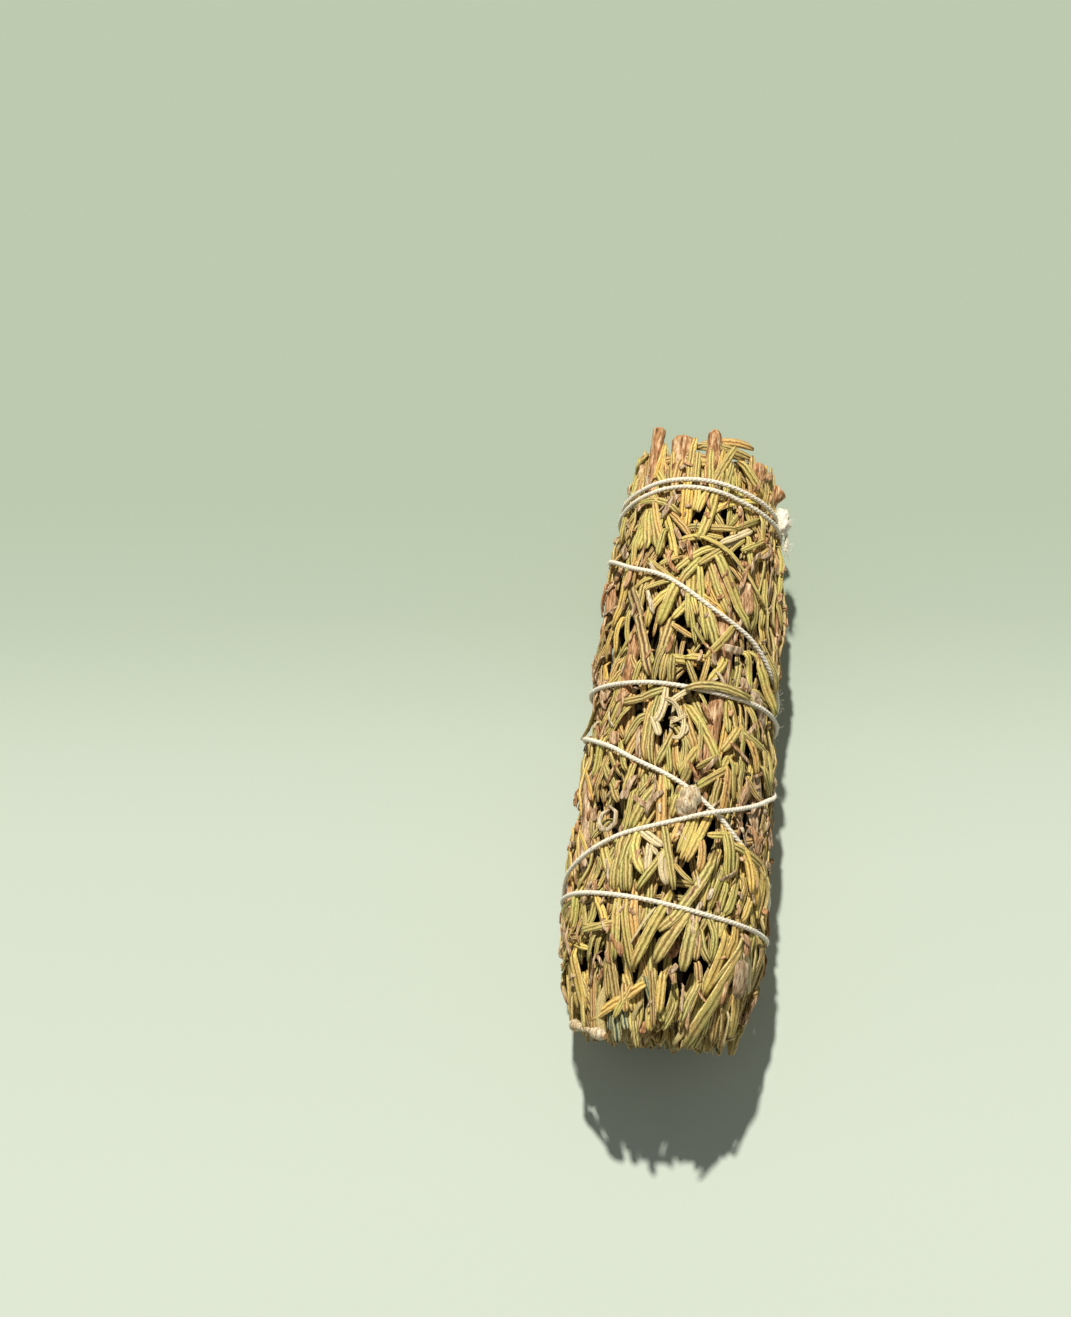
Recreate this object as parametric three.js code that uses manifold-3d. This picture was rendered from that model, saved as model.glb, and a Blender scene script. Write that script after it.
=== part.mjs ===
// A herbal smudge stick: dried rosemary sprigs pressed side by side and bound with cotton string.
// It lies on its pressed side. Millimetres, +Z up, long axis along Y, cut stems at +Y, leaf tips at -Y.
import * as THREE from 'three';
import { mergeVertices } from 'three/addons/utils/BufferGeometryUtils.js';
import Module from 'manifold-3d';

const wasm = await Module();
wasm.setup();
const { clamp, degToRad: radians, lerp } = THREE.MathUtils;

// Girth of the bundle and height of its axis above the table, as [y, millimetres].
const GIRTH_RADIUS = [
  [-54, 13.4], [-50, 14.4], [-44, 15.8], [-36, 17], [-28, 16.9], [-16, 16.6],
  [-6, 16.4], [7, 15.9], [22, 15.8], [33, 14.9], [44, 13.5], [54, 13],
];
const AXIS_HEIGHT = [
  [-54, 15.9], [-36, 15.9], [-16, 15.6], [7, 14.9], [22, 14.8], [33, 13.9], [44, 12.5], [54, 12],
];

const PRESSED_FLAT = 0.75; // depth of the leaves flattened against the table
const PRESSED_DEPTHS = [0.95, 1.2]; // and how deep their middles lie there

// The sprigs.
const OUTER_SPRIGS = 12;
const INNER_SPRIGS = 5;
const SPRIG_GAP = 0.27; // clear space kept between neighbouring sprigs, on each side of their border
const BORDER_TWIST = radians(10); // turn of the sprigs about the axis from end to end
const BORDER_WAVE = radians(2.6);
const ROOT_DEPTH = 3;
const CORE_DEPTH = 2.35; // from the bundle's surface down to a sprig's dense middle
const OUTER_CORE_INNER_RADIUS = 8;
const INNER_SPRIG_RADIUS = 2;
const INNER_RING_RADIUS = 4.9;
const CORE_STATIONS = [-46.5, -44, -29, -14, 1, 16, 31, 44.5, 46.5];
const CORE_FROM = CORE_STATIONS[0];
const CORE_TO = CORE_STATIONS.at(-1);

const SIMPLIFY_WITHIN = 0.12;

// The leaves.
const LEAF_HALF_WIDTH = 0.9;
const LEAF_RISE = 0.55; // from a leaf's middle to its ridge
const LEAF_SINK = 0.3; // from a leaf's middle to its flat back
const LANES = [-0.72, 0, 0.72]; // across a sprig, as shares of its half width
const LANE_LEAVES = 6;
const CROSSING_LEAVES = 4;
const TIP_LEAVES = 4;
const INNER_TIP_LEAVES = 5;
const TIP_ENDS = [-53.4, -50]; // where the needles of the near end stop
const LONGEST_TIP = { sprig: 5, tip: 2, y: -54 };

// The cut stems, one for each outer sprig from -165 degrees on: [angle, end y, radius].
const STEM_ENDS = [
  [-163, 48.2, 1.1], [-137, 50.3, 1.3], [-104, 49.1, 1], [-65, 50.2, 0.85],
  [-45, 54, 1.15], [-18, 51.4, 1.8], [4, 53, 1.3], [49, 49.8, 1.5],
  [83, 50.6, 1.35], [110, 49, 1], [136, 50.8, 1.4], [162, 48.6, 1.2],
];
// Woody stems that show on the surface between the leaves, by sprig, as [y, angle].
const BARE_STEMS = {
  2: [[-32, -100], [-20, -102], [-8, -100]],
  3: [[2, -80], [14, -82], [26, -79]],
  4: [[0, -42], [8, -41], [15, -38]],
  6: [[-9, 14], [0, 19], [9, 23], [18, 20], [26, 11]],
  9: [[-8, 106], [6, 104], [20, 108]],
};
const BARE_STEM_RADIUS = 1.1;
const BARE_STEM_CLEAR = 1.1; // no leaf's middle lies nearer to one of them

// The string.
const STRING_RADIUS = 0.42;
const STRING_SIDES = 5;
const STRING_STEPS = 176;
const ROUTE_POINTS = 280; // of the smooth curve that the tube follows
const TABLE_CLEARANCE = 0.05;
const STRING_CLEARANCE = 0.32; // space cut around it in the leaves
const STRING_BITE = 1.2; // how far the string presses the leaves in
const STRING_BITE_WIDTH = 2.6;
const STRING_LIFT = 1.15; // how far a strand rises to pass over another
// Its route from the knot, as [turned angle in degrees, y].
const STRING_ROUTE = [
  [-276, 41.2], [-230, 41.3], [-180, 41.4], [-130, 41.2], [-90, 40.8], [-61, 41.4], [-28, 42.4], [5, 42.3],
  [37, 41.3], [60, 40.6], [82, 39.9], [130, 38.9], [180, 38.4], [230, 38.2], [275, 38.6],
  [307, 39.9], [340, 40.9], [369, 40.4], [390, 39.3], [410, 38.6], [443, 38],
  [490, 36.8], [535, 35], [585, 33], [630, 30.6], [653, 28.2], [673, 25.7], [700, 23], [731, 17.8],
  [761, 13.9], [783, 10], [810, 7], [850, 6.6], [900, 6.9], [950, 6.6], [990, 6],
  [1029, 5], [1061, 4.4], [1094, 3.6], [1137, 3.6], [1170, 3.2],
  [1215, 2.2], [1260, 1], [1305, -0.2], [1350, -1.8], [1392, -5.8], [1412, -8.7], [1440, -12.4],
  [1461, -16.3], [1480, -20.4], [1505, -24.4], [1530, -27], [1575, -28.6], [1620, -29.2], [1665, -29.5],
  [1710, -29.7], [1740, -30.1], [1775, -31.4], [1809, -32.8], [1830, -33.3], [1865, -33.3], [1890, -33],
  [1935, -32.8], [1980, -32.6], [2025, -31.4], [2050, -29], [2075, -26.3], [2093, -24.9], [2126, -21.6],
  [2154, -19.3], [2181, -16.6], [2209, -13.4], [2225, -11.1], [2250, -7.8], [2275, -2.6], [2298, 1.6],
];
// Where a strand passes over an earlier one, as turned angles along the route.
const STRING_OVER = [2044, 2179, 2297];
const KNOT = { angle: 83, y: 39.6, size: [1.15, 1.6, 2.2] };
const TIE = { angle: 138, y: 1.7, size: [1, 1.3, 1.4] };

function seededRandom(seed) {
  let state = seed >>> 0;
  return () => {
    state = (state + 0x6d2b79f5) >>> 0;
    let t = Math.imul(state ^ (state >>> 15), 1 | state);
    t = (t + Math.imul(t ^ (t >>> 7), 61 | t)) ^ t;
    return ((t ^ (t >>> 14)) >>> 0) / 4294967296;
  };
}

// A smooth curve through rows of [place, value], whose slope at a row is that between its neighbours.
function smoothTable(rows) {
  const last = rows.length - 1;
  const slope = (k) => {
    const [before, after] = [rows[Math.max(k - 1, 0)], rows[Math.min(k + 1, last)]];
    return (after[1] - before[1]) / (after[0] - before[0]);
  };
  return (asked) => {
    const at = clamp(asked, rows[0][0], rows[last][0]);
    const k = clamp(rows.findIndex((row) => row[0] > at) - 1, 0, last - 1);
    const from = at >= rows[last][0] ? last - 1 : k;
    const span = rows[from + 1][0] - rows[from][0];
    const t = (at - rows[from][0]) / span;
    const rise = rows[from][1] * (1 + 2 * t) * (1 - t) ** 2 + rows[from + 1][1] * t * t * (3 - 2 * t);
    return rise + span * (slope(from) * t * (1 - t) ** 2 + slope(from + 1) * t * t * (t - 1));
  };
}

const girthAt = smoothTable(GIRTH_RADIUS);
const heightAt = smoothTable(AXIS_HEIGHT);
const routeAt = smoothTable(STRING_ROUTE);

// The route's samples, used to press the leaves in under the string.
const ROUTE_SAMPLES = [];
for (let turned = STRING_ROUTE[0][0]; turned < STRING_ROUTE.at(-1)[0]; turned += 3) {
  ROUTE_SAMPLES.push([turned, routeAt(turned)]);
}

function distanceToString(angle, y) {
  let nearest = Infinity;
  for (const [turned, at] of ROUTE_SAMPLES) {
    const along = y - at;
    if (Math.abs(along) >= nearest) continue;
    const apart = THREE.MathUtils.euclideanModulo(THREE.MathUtils.radToDeg(angle) - turned + 180, 360) - 180;
    nearest = Math.min(nearest, Math.hypot(along, radians(apart) * girthAt(y)));
  }
  return nearest;
}

// Radius of the bundle's surface with no string, flat where it lies on the table.
function freeRadius(angle, y) {
  const down = -Math.cos(angle);
  return down > 0 ? Math.min(girthAt(y), (heightAt(y) + PRESSED_FLAT) / down) : girthAt(y);
}

function pressedRadius(angle, y) {
  const bite = STRING_BITE * Math.exp(-((distanceToString(angle, y) / STRING_BITE_WIDTH) ** 2));
  return freeRadius(angle, y) - bite;
}

// A point of the bundle: angle about the axis from straight up, place along it, radius.
function place(angle, y, radius) {
  return new THREE.Vector3(radius * Math.sin(angle), y, heightAt(y) + radius * Math.cos(angle));
}

// The border before outer sprig i, as an angle. The first one is at the underside.
function border(i, y) {
  const own = i % OUTER_SPRIGS;
  const wave = BORDER_WAVE * Math.sin(y / (8 + (own % 3)) + own * 2.1);
  return (2 * Math.PI * i) / OUTER_SPRIGS - Math.PI + (BORDER_TWIST * (y - 50)) / 100 + wave;
}

function solidFrom(geometry) {
  geometry.deleteAttribute('normal');
  geometry.deleteAttribute('uv');
  const merged = mergeVertices(geometry, 1e-4);
  return new wasm.Manifold(new wasm.Mesh({
    numProp: 3,
    vertProperties: merged.attributes.position.array,
    triVerts: new Uint32Array(merged.index.array),
  }));
}

function geometryFrom(solid) {
  const mesh = solid.getMesh();
  const geometry = new THREE.BufferGeometry();
  geometry.setAttribute('position', new THREE.BufferAttribute(mesh.vertProperties, 3));
  geometry.setIndex(new THREE.BufferAttribute(mesh.triVerts, 1));
  const shown = geometry.toNonIndexed();
  shown.computeVertexNormals();
  return shown;
}

// A closed body through rings of points, each ring running the same way round. A last single point is a tip.
function loft(rings, tip) {
  const sides = rings[0].length;
  const points = rings.flat();
  const faces = [];
  for (let k = 1; k < sides - 1; k++) faces.push(0, k + 1, k);
  for (let r = 0; r < rings.length - 1; r++) {
    for (let k = 0; k < sides; k++) {
      const a = r * sides + k;
      const b = r * sides + ((k + 1) % sides);
      faces.push(a, b, b + sides, a, b + sides, a + sides);
    }
  }
  const last = (rings.length - 1) * sides;
  if (tip) {
    points.push(tip);
    for (let k = 0; k < sides; k++) faces.push(last + k, last + ((k + 1) % sides), points.length - 1);
  } else {
    for (let k = 1; k < sides - 1; k++) faces.push(last, last + k, last + k + 1);
  }
  const geometry = new THREE.BufferGeometry().setFromPoints(points);
  geometry.setIndex(faces);
  const solid = solidFrom(geometry);
  return solid.volume() < 0 ? loft(rings.map((ring) => [...ring].reverse()), tip) : solid;
}

// A leaf with a ridge on top, through rings at [angle, y, radius] and on to its tip.
function leaf(line) {
  const centres = line.map(([angle, y, radius]) => place(angle, y, radius));
  const rings = centres.slice(0, -1).map((centre, k) => {
    const ahead = centres[k + 1].clone().sub(centres[Math.max(k - 1, 0)]).normalize();
    const out = new THREE.Vector3(Math.sin(line[k][0]), 0, Math.cos(line[k][0]));
    const side = new THREE.Vector3().crossVectors(ahead, out).normalize();
    out.crossVectors(side, ahead);
    const section = [[LEAF_HALF_WIDTH, -LEAF_SINK], [0, LEAF_RISE], [-LEAF_HALF_WIDTH, -LEAF_SINK]];
    return section.map(([across, up]) => (
      centre.clone().addScaledVector(side, across).addScaledVector(out, up)));
  });
  return loft(rings, centres.at(-1));
}

function roundStem(points, radius, endRadius = radius, sides = 6) {
  const rings = points.map((centre, k) => {
    const next = points[Math.min(k + 1, points.length - 1)];
    const ahead = next.clone().sub(points[Math.max(k - 1, 0)]).normalize();
    const side = new THREE.Vector3(1, 0, 0).cross(ahead).normalize();
    const up = new THREE.Vector3().crossVectors(ahead, side);
    const size = lerp(radius, endRadius, k / (points.length - 1));
    return Array.from({ length: sides }, (_, s) => {
      const turn = (2 * Math.PI * s) / sides;
      const rim = centre.clone().addScaledVector(side, size * Math.cos(turn));
      return rim.addScaledVector(up, size * Math.sin(turn));
    });
  });
  return loft(rings);
}

// An outer sprig's dense middle: a rounded wedge that follows its borders from end to end.
function outerCore(i) {
  const rings = CORE_STATIONS.map((y, k) => {
    const shrink = k === 0 || k === CORE_STATIONS.length - 1 ? 1 : 0;
    const across = (share, radius) => {
      const inset = (SPRIG_GAP + 0.3 + shrink) / radius;
      return lerp(border(i, y) + inset, border(i + 1, y) - inset, share);
    };
    const inner = (share) => {
      const radius = OUTER_CORE_INNER_RADIUS + shrink;
      return place(across(share, radius), y, radius);
    };
    const outer = (share, depth) => {
      const angle = across(share, girthAt(y) - depth);
      return place(angle, y, freeRadius(angle, y) - depth - shrink);
    };
    const [edge, middle] = [CORE_DEPTH + 1, CORE_DEPTH];
    return [inner(0), outer(0, edge), outer(0.3, middle), outer(0.7, middle), outer(1, edge), inner(1)];
  });
  return loft(rings);
}

// Centre line of a leaf that starts in the core, comes up towards the surface and keeps inside its sprig.
// Where it meets the string it is pressed down under it, or ends there.
function laidLine(i, from, to, depth) {
  const angleAt = (share, halfWidth) => {
    const y = lerp(from.y, to.y, share);
    const inset = (SPRIG_GAP + halfWidth) / (girthAt(y) - depth);
    const middle = 0.5 + 0.5 * lerp(from.lane, to.lane, share);
    return lerp(border(i, y) + inset, border(i + 1, y) - inset, clamp(middle, 0, 1));
  };
  const shares = Array.from({ length: 21 }, (_, k) => k / 20);
  const gapAt = (share) => distanceToString(angleAt(share, LEAF_HALF_WIDTH), lerp(from.y, to.y, share));
  const gaps = shares.map(gapAt);
  const nearest = Math.min(...gaps);
  const crossing = nearest < 1 ? shares[gaps.indexOf(nearest)] : null;
  const end = crossing !== null && crossing > 0.7 ? crossing : 1;
  const middle = crossing !== null && crossing > 0.25 && crossing <= 0.7 ? crossing : 0.45;
  return [[0, ROOT_DEPTH], [middle, middle === crossing ? STRING_BITE + 0.75 : depth],
    [end, end === crossing ? STRING_BITE + 0.85 : depth * 0.9]].map(([share, down], k) => {
    const angle = angleAt(share, k === 2 ? 0.1 : LEAF_HALF_WIDTH);
    const y = lerp(from.y, to.y, share);
    const pressed = down === depth && freeRadius(angle, y) < girthAt(y);
    return [angle, y, freeRadius(angle, y) - (pressed ? clamp(down, ...PRESSED_DEPTHS) : down)];
  });
}

function nearBareStem(i, line) {
  const rows = BARE_STEMS[i];
  if (!rows) return false;
  const angleAt = smoothTable(rows);
  return line.some(([angle, y]) => y > rows[0][0] - 1 && y < rows.at(-1)[0] + 1
    && Math.abs(angle - radians(angleAt(y))) * girthAt(y) < BARE_STEM_CLEAR);
}

// The layer of leaves on an outer sprig: lanes that lie along it, then a few that cross over them.
function surfaceLeaves(i, random) {
  const leaves = [];
  for (const [n, lane] of LANES.entries()) {
    for (let k = 0; k < LANE_LEAVES; k++) {
      const y = 46.5 - 14.6 * k - 4.9 * ((n + i) % 3) + random();
      if (y < -37) continue;
      const to = { y: y - lerp(12.5, 15, random()), lane: lane + lerp(-0.22, 0.22, random()) };
      leaves.push(laidLine(i, { y, lane: lane * 0.8 }, to, lerp(1, 1.5, random())));
    }
  }
  for (let k = 0; k < CROSSING_LEAVES; k++) {
    const y = 36 - 19 * k - 5 * random();
    const way = (k + i) % 2 ? 1 : -1;
    const to = { y: y - lerp(10, 14, random()), lane: way * lerp(0.6, 1, random()) };
    leaves.push(laidLine(i, { y, lane: -0.6 * way }, to, 0.62));
  }
  return leaves;
}

// Leaf tips that close the near end, from the core's end face outwards.
function tipLeaves(i, random) {
  return Array.from({ length: TIP_LEAVES }, (_, k) => {
    const lane = lerp(-0.75, 0.75, (k + 0.5) / TIP_LEAVES);
    const depth = k % 2 ? 4.4 : 1.7;
    const longest = i === LONGEST_TIP.sprig && k === LONGEST_TIP.tip;
    const endY = longest ? LONGEST_TIP.y : lerp(...TIP_ENDS, random());
    const root = [CORE_FROM + 3.5, lane * 0.8, depth + 0.9];
    return [root, [CORE_FROM - 1.5, lane, depth], [endY, lane, depth - 0.3]].map(([y, across, down]) => {
      const inset = (SPRIG_GAP + LEAF_HALF_WIDTH) / (girthAt(y) - down);
      const angle = lerp(border(i, y) + inset, border(i + 1, y) - inset, 0.5 + 0.5 * across);
      return [angle, y, freeRadius(angle, y) - down];
    });
  });
}

// The woody stem's cut end at +Y, and where it shows on the surface.
function woodyStem(i) {
  const [angle, endY, radius] = STEM_ENDS[i];
  const depth = radius + 1.1;
  const inside = lerp(border(i, 41), border(i + 1, 41), 0.5);
  const points = [[lerp(inside, radians(angle), 0.4), 40], [radians(angle), 46.5], [radians(angle), endY]]
    .map(([at, y]) => place(at, y, freeRadius(at, y) - depth - (y < 41 ? 1.4 : 0)));
  const parts = [roundStem(points, radius * 0.9, radius)];
  if (BARE_STEMS[i]) {
    const shown = BARE_STEMS[i].map(([y, degrees], k, rows) => {
      const sunk = k === 0 || k === rows.length - 1 ? 3.6 : 1.75;
      return place(radians(degrees), y, pressedRadius(radians(degrees), y) - sunk);
    });
    parts.push(roundStem(shown, BARE_STEM_RADIUS));
  }
  return parts;
}

// Radius of the string's middle: sunk to its top in the leaves, and clear of the table underneath.
function stringRadiusAt(angle, y, lift) {
  const down = -Math.cos(angle);
  const laid = girthAt(y) - STRING_RADIUS + lift;
  return down > 0 ? Math.min(laid, (heightAt(y) - STRING_RADIUS - TABLE_CLEARANCE) / down) : laid;
}

function overLift(turned) {
  return Math.max(0, ...STRING_OVER.map((at) => STRING_LIFT * Math.exp(-(((turned - at) / 13) ** 2))));
}

function stringCurve() {
  const points = Array.from({ length: ROUTE_POINTS }, (_, k) => {
    const turned = lerp(STRING_ROUTE[0][0], STRING_ROUTE.at(-1)[0], k / (ROUTE_POINTS - 1));
    const y = routeAt(turned);
    return place(radians(turned), y, stringRadiusAt(radians(turned), y, overLift(turned)));
  });
  return new THREE.CatmullRomCurve3(points);
}

function stringTube(radius, sides) {
  const section = new THREE.Shape(Array.from({ length: sides }, (_, k) => {
    const turn = (2 * Math.PI * k) / sides;
    return new THREE.Vector2(radius * Math.cos(turn), radius * Math.sin(turn));
  }));
  return solidFrom(new THREE.ExtrudeGeometry(section, { steps: STRING_STEPS, extrudePath: stringCurve() }));
}

// A knot: a squashed lump that hugs the bundle, with its two cut ends.
function knot({ angle, y, size }, tails) {
  const at = radians(angle);
  const lump = new THREE.IcosahedronGeometry(1, 1);
  lump.scale(size[1], size[2], size[0]);
  lump.rotateY(at);
  const centre = place(at, y, stringRadiusAt(at, y, 0.35));
  lump.translate(centre.x, centre.y, centre.z);
  const parts = [solidFrom(lump)];
  for (const line of tails) {
    const points = line.map(([turn, along, out]) => place(radians(angle + turn), y + along,
      stringRadiusAt(radians(angle + turn), y + along, out)));
    parts.push(roundStem(points, STRING_RADIUS, 0.32, STRING_SIDES));
  }
  return parts;
}

function boundString() {
  const top = knot(KNOT, [[[0, 0, 0.3], [5, -2, 1], [8, -4.6, 0.9]], [[0, 0, 0.3], [7, 1.2, 1], [13, 1, 1]]]);
  const back = knot(TIE, [[[0, 0, 0.3], [3, 2.4, 0.9], [3, 4.6, 0.9]]]);
  return wasm.Manifold.union([stringTube(STRING_RADIUS, STRING_SIDES), ...top, ...back]);
}

function largestBody(solid) {
  return solid.decompose().reduce((best, body) => (body.volume() > best.volume() ? body : best));
}

// Joins a sprig's pieces, trims them at the table and under the string, and drops any loose scrap.
function joined(parts, cutters) {
  const whole = cutters.reduce((solid, cutter) => solid.subtract(cutter), wasm.Manifold.union(parts));
  return largestBody(largestBody(whole).simplify(SIMPLIFY_WITHIN));
}

function outerSprig(i, cutters) {
  const random = seededRandom(101 + i);
  const lines = surfaceLeaves(i, random).filter((line) => !nearBareStem(i, line));
  const leaves = [...lines, ...tipLeaves(i, random)].map((line) => leaf(line));
  return joined([outerCore(i), ...leaves, ...woodyStem(i)], cutters);
}

// An inner sprig: hidden along its length, so only its two ends carry leaves.
function innerSprig(i) {
  const random = seededRandom(301 + i);
  const turn = (2 * Math.PI * i) / INNER_SPRIGS + 0.3;
  const axisAt = (y) => place(turn, y, INNER_RING_RADIUS);
  const core = roundStem([CORE_FROM, -20, 15, CORE_TO].map(axisAt), INNER_SPRIG_RADIUS);
  const stem = roundStem([40, 46, 48.5 + 0.6 * i].map(axisAt), 1.2);
  const leaves = Array.from({ length: INNER_TIP_LEAVES }, (_, k) => {
    const round = (2 * Math.PI * (k + random() * 0.4)) / INNER_TIP_LEAVES;
    const at = (y, out) => axisAt(y).add(new THREE.Vector3(Math.sin(round) * out, 0, Math.cos(round) * out));
    const reachY = lerp(-52.5, -49.5, random());
    const points = [at(CORE_FROM + 3, 0.8), at(CORE_FROM - 1, 1.35), at(reachY, 1.55)];
    return roundStem(points, 0.6, 0.35, 4);
  });
  return joined([core, stem, ...leaves], []);
}

function material(color, roughness) {
  return new THREE.MeshStandardMaterial({ color, roughness, metalness: 0 });
}

const leafGreen = material('#8c8a45', 0.75);
const innerGreen = material('#5c5a32', 0.85);
const cotton = material('#e4dcc6', 0.9);

function named(name, solid, finish) {
  const mesh = new THREE.Mesh(geometryFrom(solid), finish);
  mesh.name = name;
  return mesh;
}

const smudgeStick = new THREE.Group();
const string = boundString();
const underTable = new THREE.BoxGeometry(80, 160, 10).translate(0, 0, -5);
const cutters = [stringTube(STRING_RADIUS + STRING_CLEARANCE, STRING_SIDES), solidFrom(underTable),
  ...[KNOT, TIE].map((spot) => knot({ ...spot, size: spot.size.map((s) => s + STRING_CLEARANCE) }, [])[0])];
for (let i = 0; i < OUTER_SPRIGS; i++) {
  smudgeStick.add(named(`sprig_${String(i + 1).padStart(2, '0')}`, outerSprig(i, cutters), leafGreen));
}
for (let i = 0; i < INNER_SPRIGS; i++) {
  smudgeStick.add(named(`inner_sprig_${i + 1}`, innerSprig(i), innerGreen));
}
smudgeStick.add(named('binding_string', string, cotton));

export default smudgeStick;
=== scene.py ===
import math
from functools import partial

import bmesh
import bpy
import numpy as np
from bpy.props import FloatProperty, FloatVectorProperty, IntProperty, PointerProperty
from bpy.types import Operator, Panel, PropertyGroup
from mathutils import Matrix, Vector


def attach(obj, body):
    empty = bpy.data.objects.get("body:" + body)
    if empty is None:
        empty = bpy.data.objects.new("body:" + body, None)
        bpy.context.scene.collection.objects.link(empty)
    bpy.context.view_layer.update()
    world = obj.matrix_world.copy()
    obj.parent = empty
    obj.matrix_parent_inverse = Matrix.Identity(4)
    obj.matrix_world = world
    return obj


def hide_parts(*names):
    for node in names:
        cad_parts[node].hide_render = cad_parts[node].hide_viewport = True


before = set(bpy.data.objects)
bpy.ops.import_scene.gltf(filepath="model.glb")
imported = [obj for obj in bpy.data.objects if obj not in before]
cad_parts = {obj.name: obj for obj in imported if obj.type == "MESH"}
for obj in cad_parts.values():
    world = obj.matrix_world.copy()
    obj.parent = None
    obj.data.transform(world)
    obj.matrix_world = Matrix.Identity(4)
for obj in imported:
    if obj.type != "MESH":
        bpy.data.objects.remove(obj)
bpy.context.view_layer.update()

bl_info = {
    "name": "Rosemary smudge stick",
    "version": (1, 0, 0),
    "blender": (4, 5, 0),
    "location": "View3D > Sidebar > Smudge stick",
    "description": "Lays dried rosemary needles and stems into a bundle and winds cotton string round it",
    "category": "Object",
}

MM = 0.001

# The camera, in millimetres and degrees, as fitted to the photograph, whose size is in pixels.
PHOTO_WIDTH, PHOTO_HEIGHT = 1071, 1317
CAMERA_PLACE = (-10.99, -119.55, 377.69)
CAMERA_DOWN = 70
CAMERA_HEADING = -6.305
CAMERA_FOCAL = 2300  # pixels
SENSOR_HEIGHT = 36
# Where the key light comes from, and its colour and that of the light from all round.
LIGHT_FROM = (-3.3, 9.6, 16.5)
KEY_COLOUR = (1.0, 0.97, 0.92)
FILL_COLOUR = (0.97, 1.0, 0.98, 1)
RAY_LENGTHS = np.arange(330, 420, 0.05)  # at which a line of sight is tried against the bundle
# Squares of the photograph that were enlarged to look at the stick: left and top in its pixels, and
# enlargement. From the far end to the near one they run from 1 to 6, on the left and on the right.
SQUARES = {
    "1L": (600, 425, 13.07), "1R": (690, 425, 13.06), "2L": (590, 540, 13.06), "2R": (685, 540, 13.06),
    "3L": (575, 655, 13.07), "3R": (670, 655, 13.07), "4L": (555, 770, 13.07), "4R": (665, 770, 13.07),
    "5L": (545, 880, 13.07), "5R": (650, 880, 12.54), "6L": (545, 960, 13.07), "6R": (655, 960, 13.07),
    "far": (545, 418, 4.4419), "near": (545, 739, 4.4419), "whole": (0, 0, 1),
}

# The bundle, in millimetres, as the solids have it: girth and height of its axis, as [y, value].
GIRTH_RADIUS = [
    [-54, 13.4], [-50, 14.4], [-44, 15.8], [-36, 17], [-28, 16.9], [-16, 16.6],
    [-6, 16.4], [7, 15.9], [22, 15.8], [33, 14.9], [44, 13.5], [54, 13],
]
AXIS_HEIGHT = [
    [-54, 15.9], [-36, 15.9], [-16, 15.6], [7, 14.9], [22, 14.8], [33, 13.9], [44, 12.5], [54, 12],
]
OUTER_SPRIGS = 12
INNER_SPRIGS = 5
INNER_RING_RADIUS = 4.9
BORDER_TWIST = math.radians(10)
BORDER_WAVE = math.radians(2.6)

# Cut ends of the outer sprigs' stems: angle, end y, radius, how much the end is rounded, lean outwards.
STEM_ENDS = [
    (-163, 48.2, 1.1, 0, 0), (-137, 50.3, 1.3, 0, 0), (-104, 49.1, 1, 0, 0), (-68, 50.2, 0.85, 0.3, 0),
    (-51, 54.2, 1.15, 0, 0.2), (-25, 52.4, 2.1, 1, 0), (4, 53.2, 1.3, 0.6, 0), (49, 49.2, 1.5, 0.4, 0.5),
    (81, 47.2, 1.5, 0, 3.6), (110, 49, 1, 0, 0), (136, 50.8, 1.4, 0, 0), (162, 48.6, 1.2, 0, 0),
]
# Woody stems that show between the needles: sprig, radius, weathering, and [y, angle] along them.
BARE_STEMS = [
    (2, 1.1, 0.6, [[-32, -100], [-20, -102], [-8, -100]]),
    (3, 1.0, 0.3, [[2, -80], [14, -82], [26, -79]]),
    (3, 1.2, 0.7, [[-24, -68], [-17, -70], [-8, -76]]),
    (3, 0.9, 0.0, [[-32, -86], [-25, -87], [-17, -89]]),
    (4, 1.0, 0.1, [[0, -46], [8, -43], [15, -40]]),
    (6, 1.35, 0.35, [[-9, 14], [0, 19], [9, 23], [18, 20], [26, 11]]),
    (7, 1.1, 0.9, [[-24, 56], [-16, 58], [-8, 58]]),
    (9, 1.1, 0.4, [[-8, 106], [6, 104], [20, 108]]),
    (8, 0.9, 0.3, [[14, 78], [24, 76], [35, 79]]),
    (11, 1.0, 0.5, [[-30, 150], [-16, 152], [0, 149]]),
    (1, 1.0, 0.5, [[-4, -140], [10, -143], [24, -141]]),
]

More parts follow.
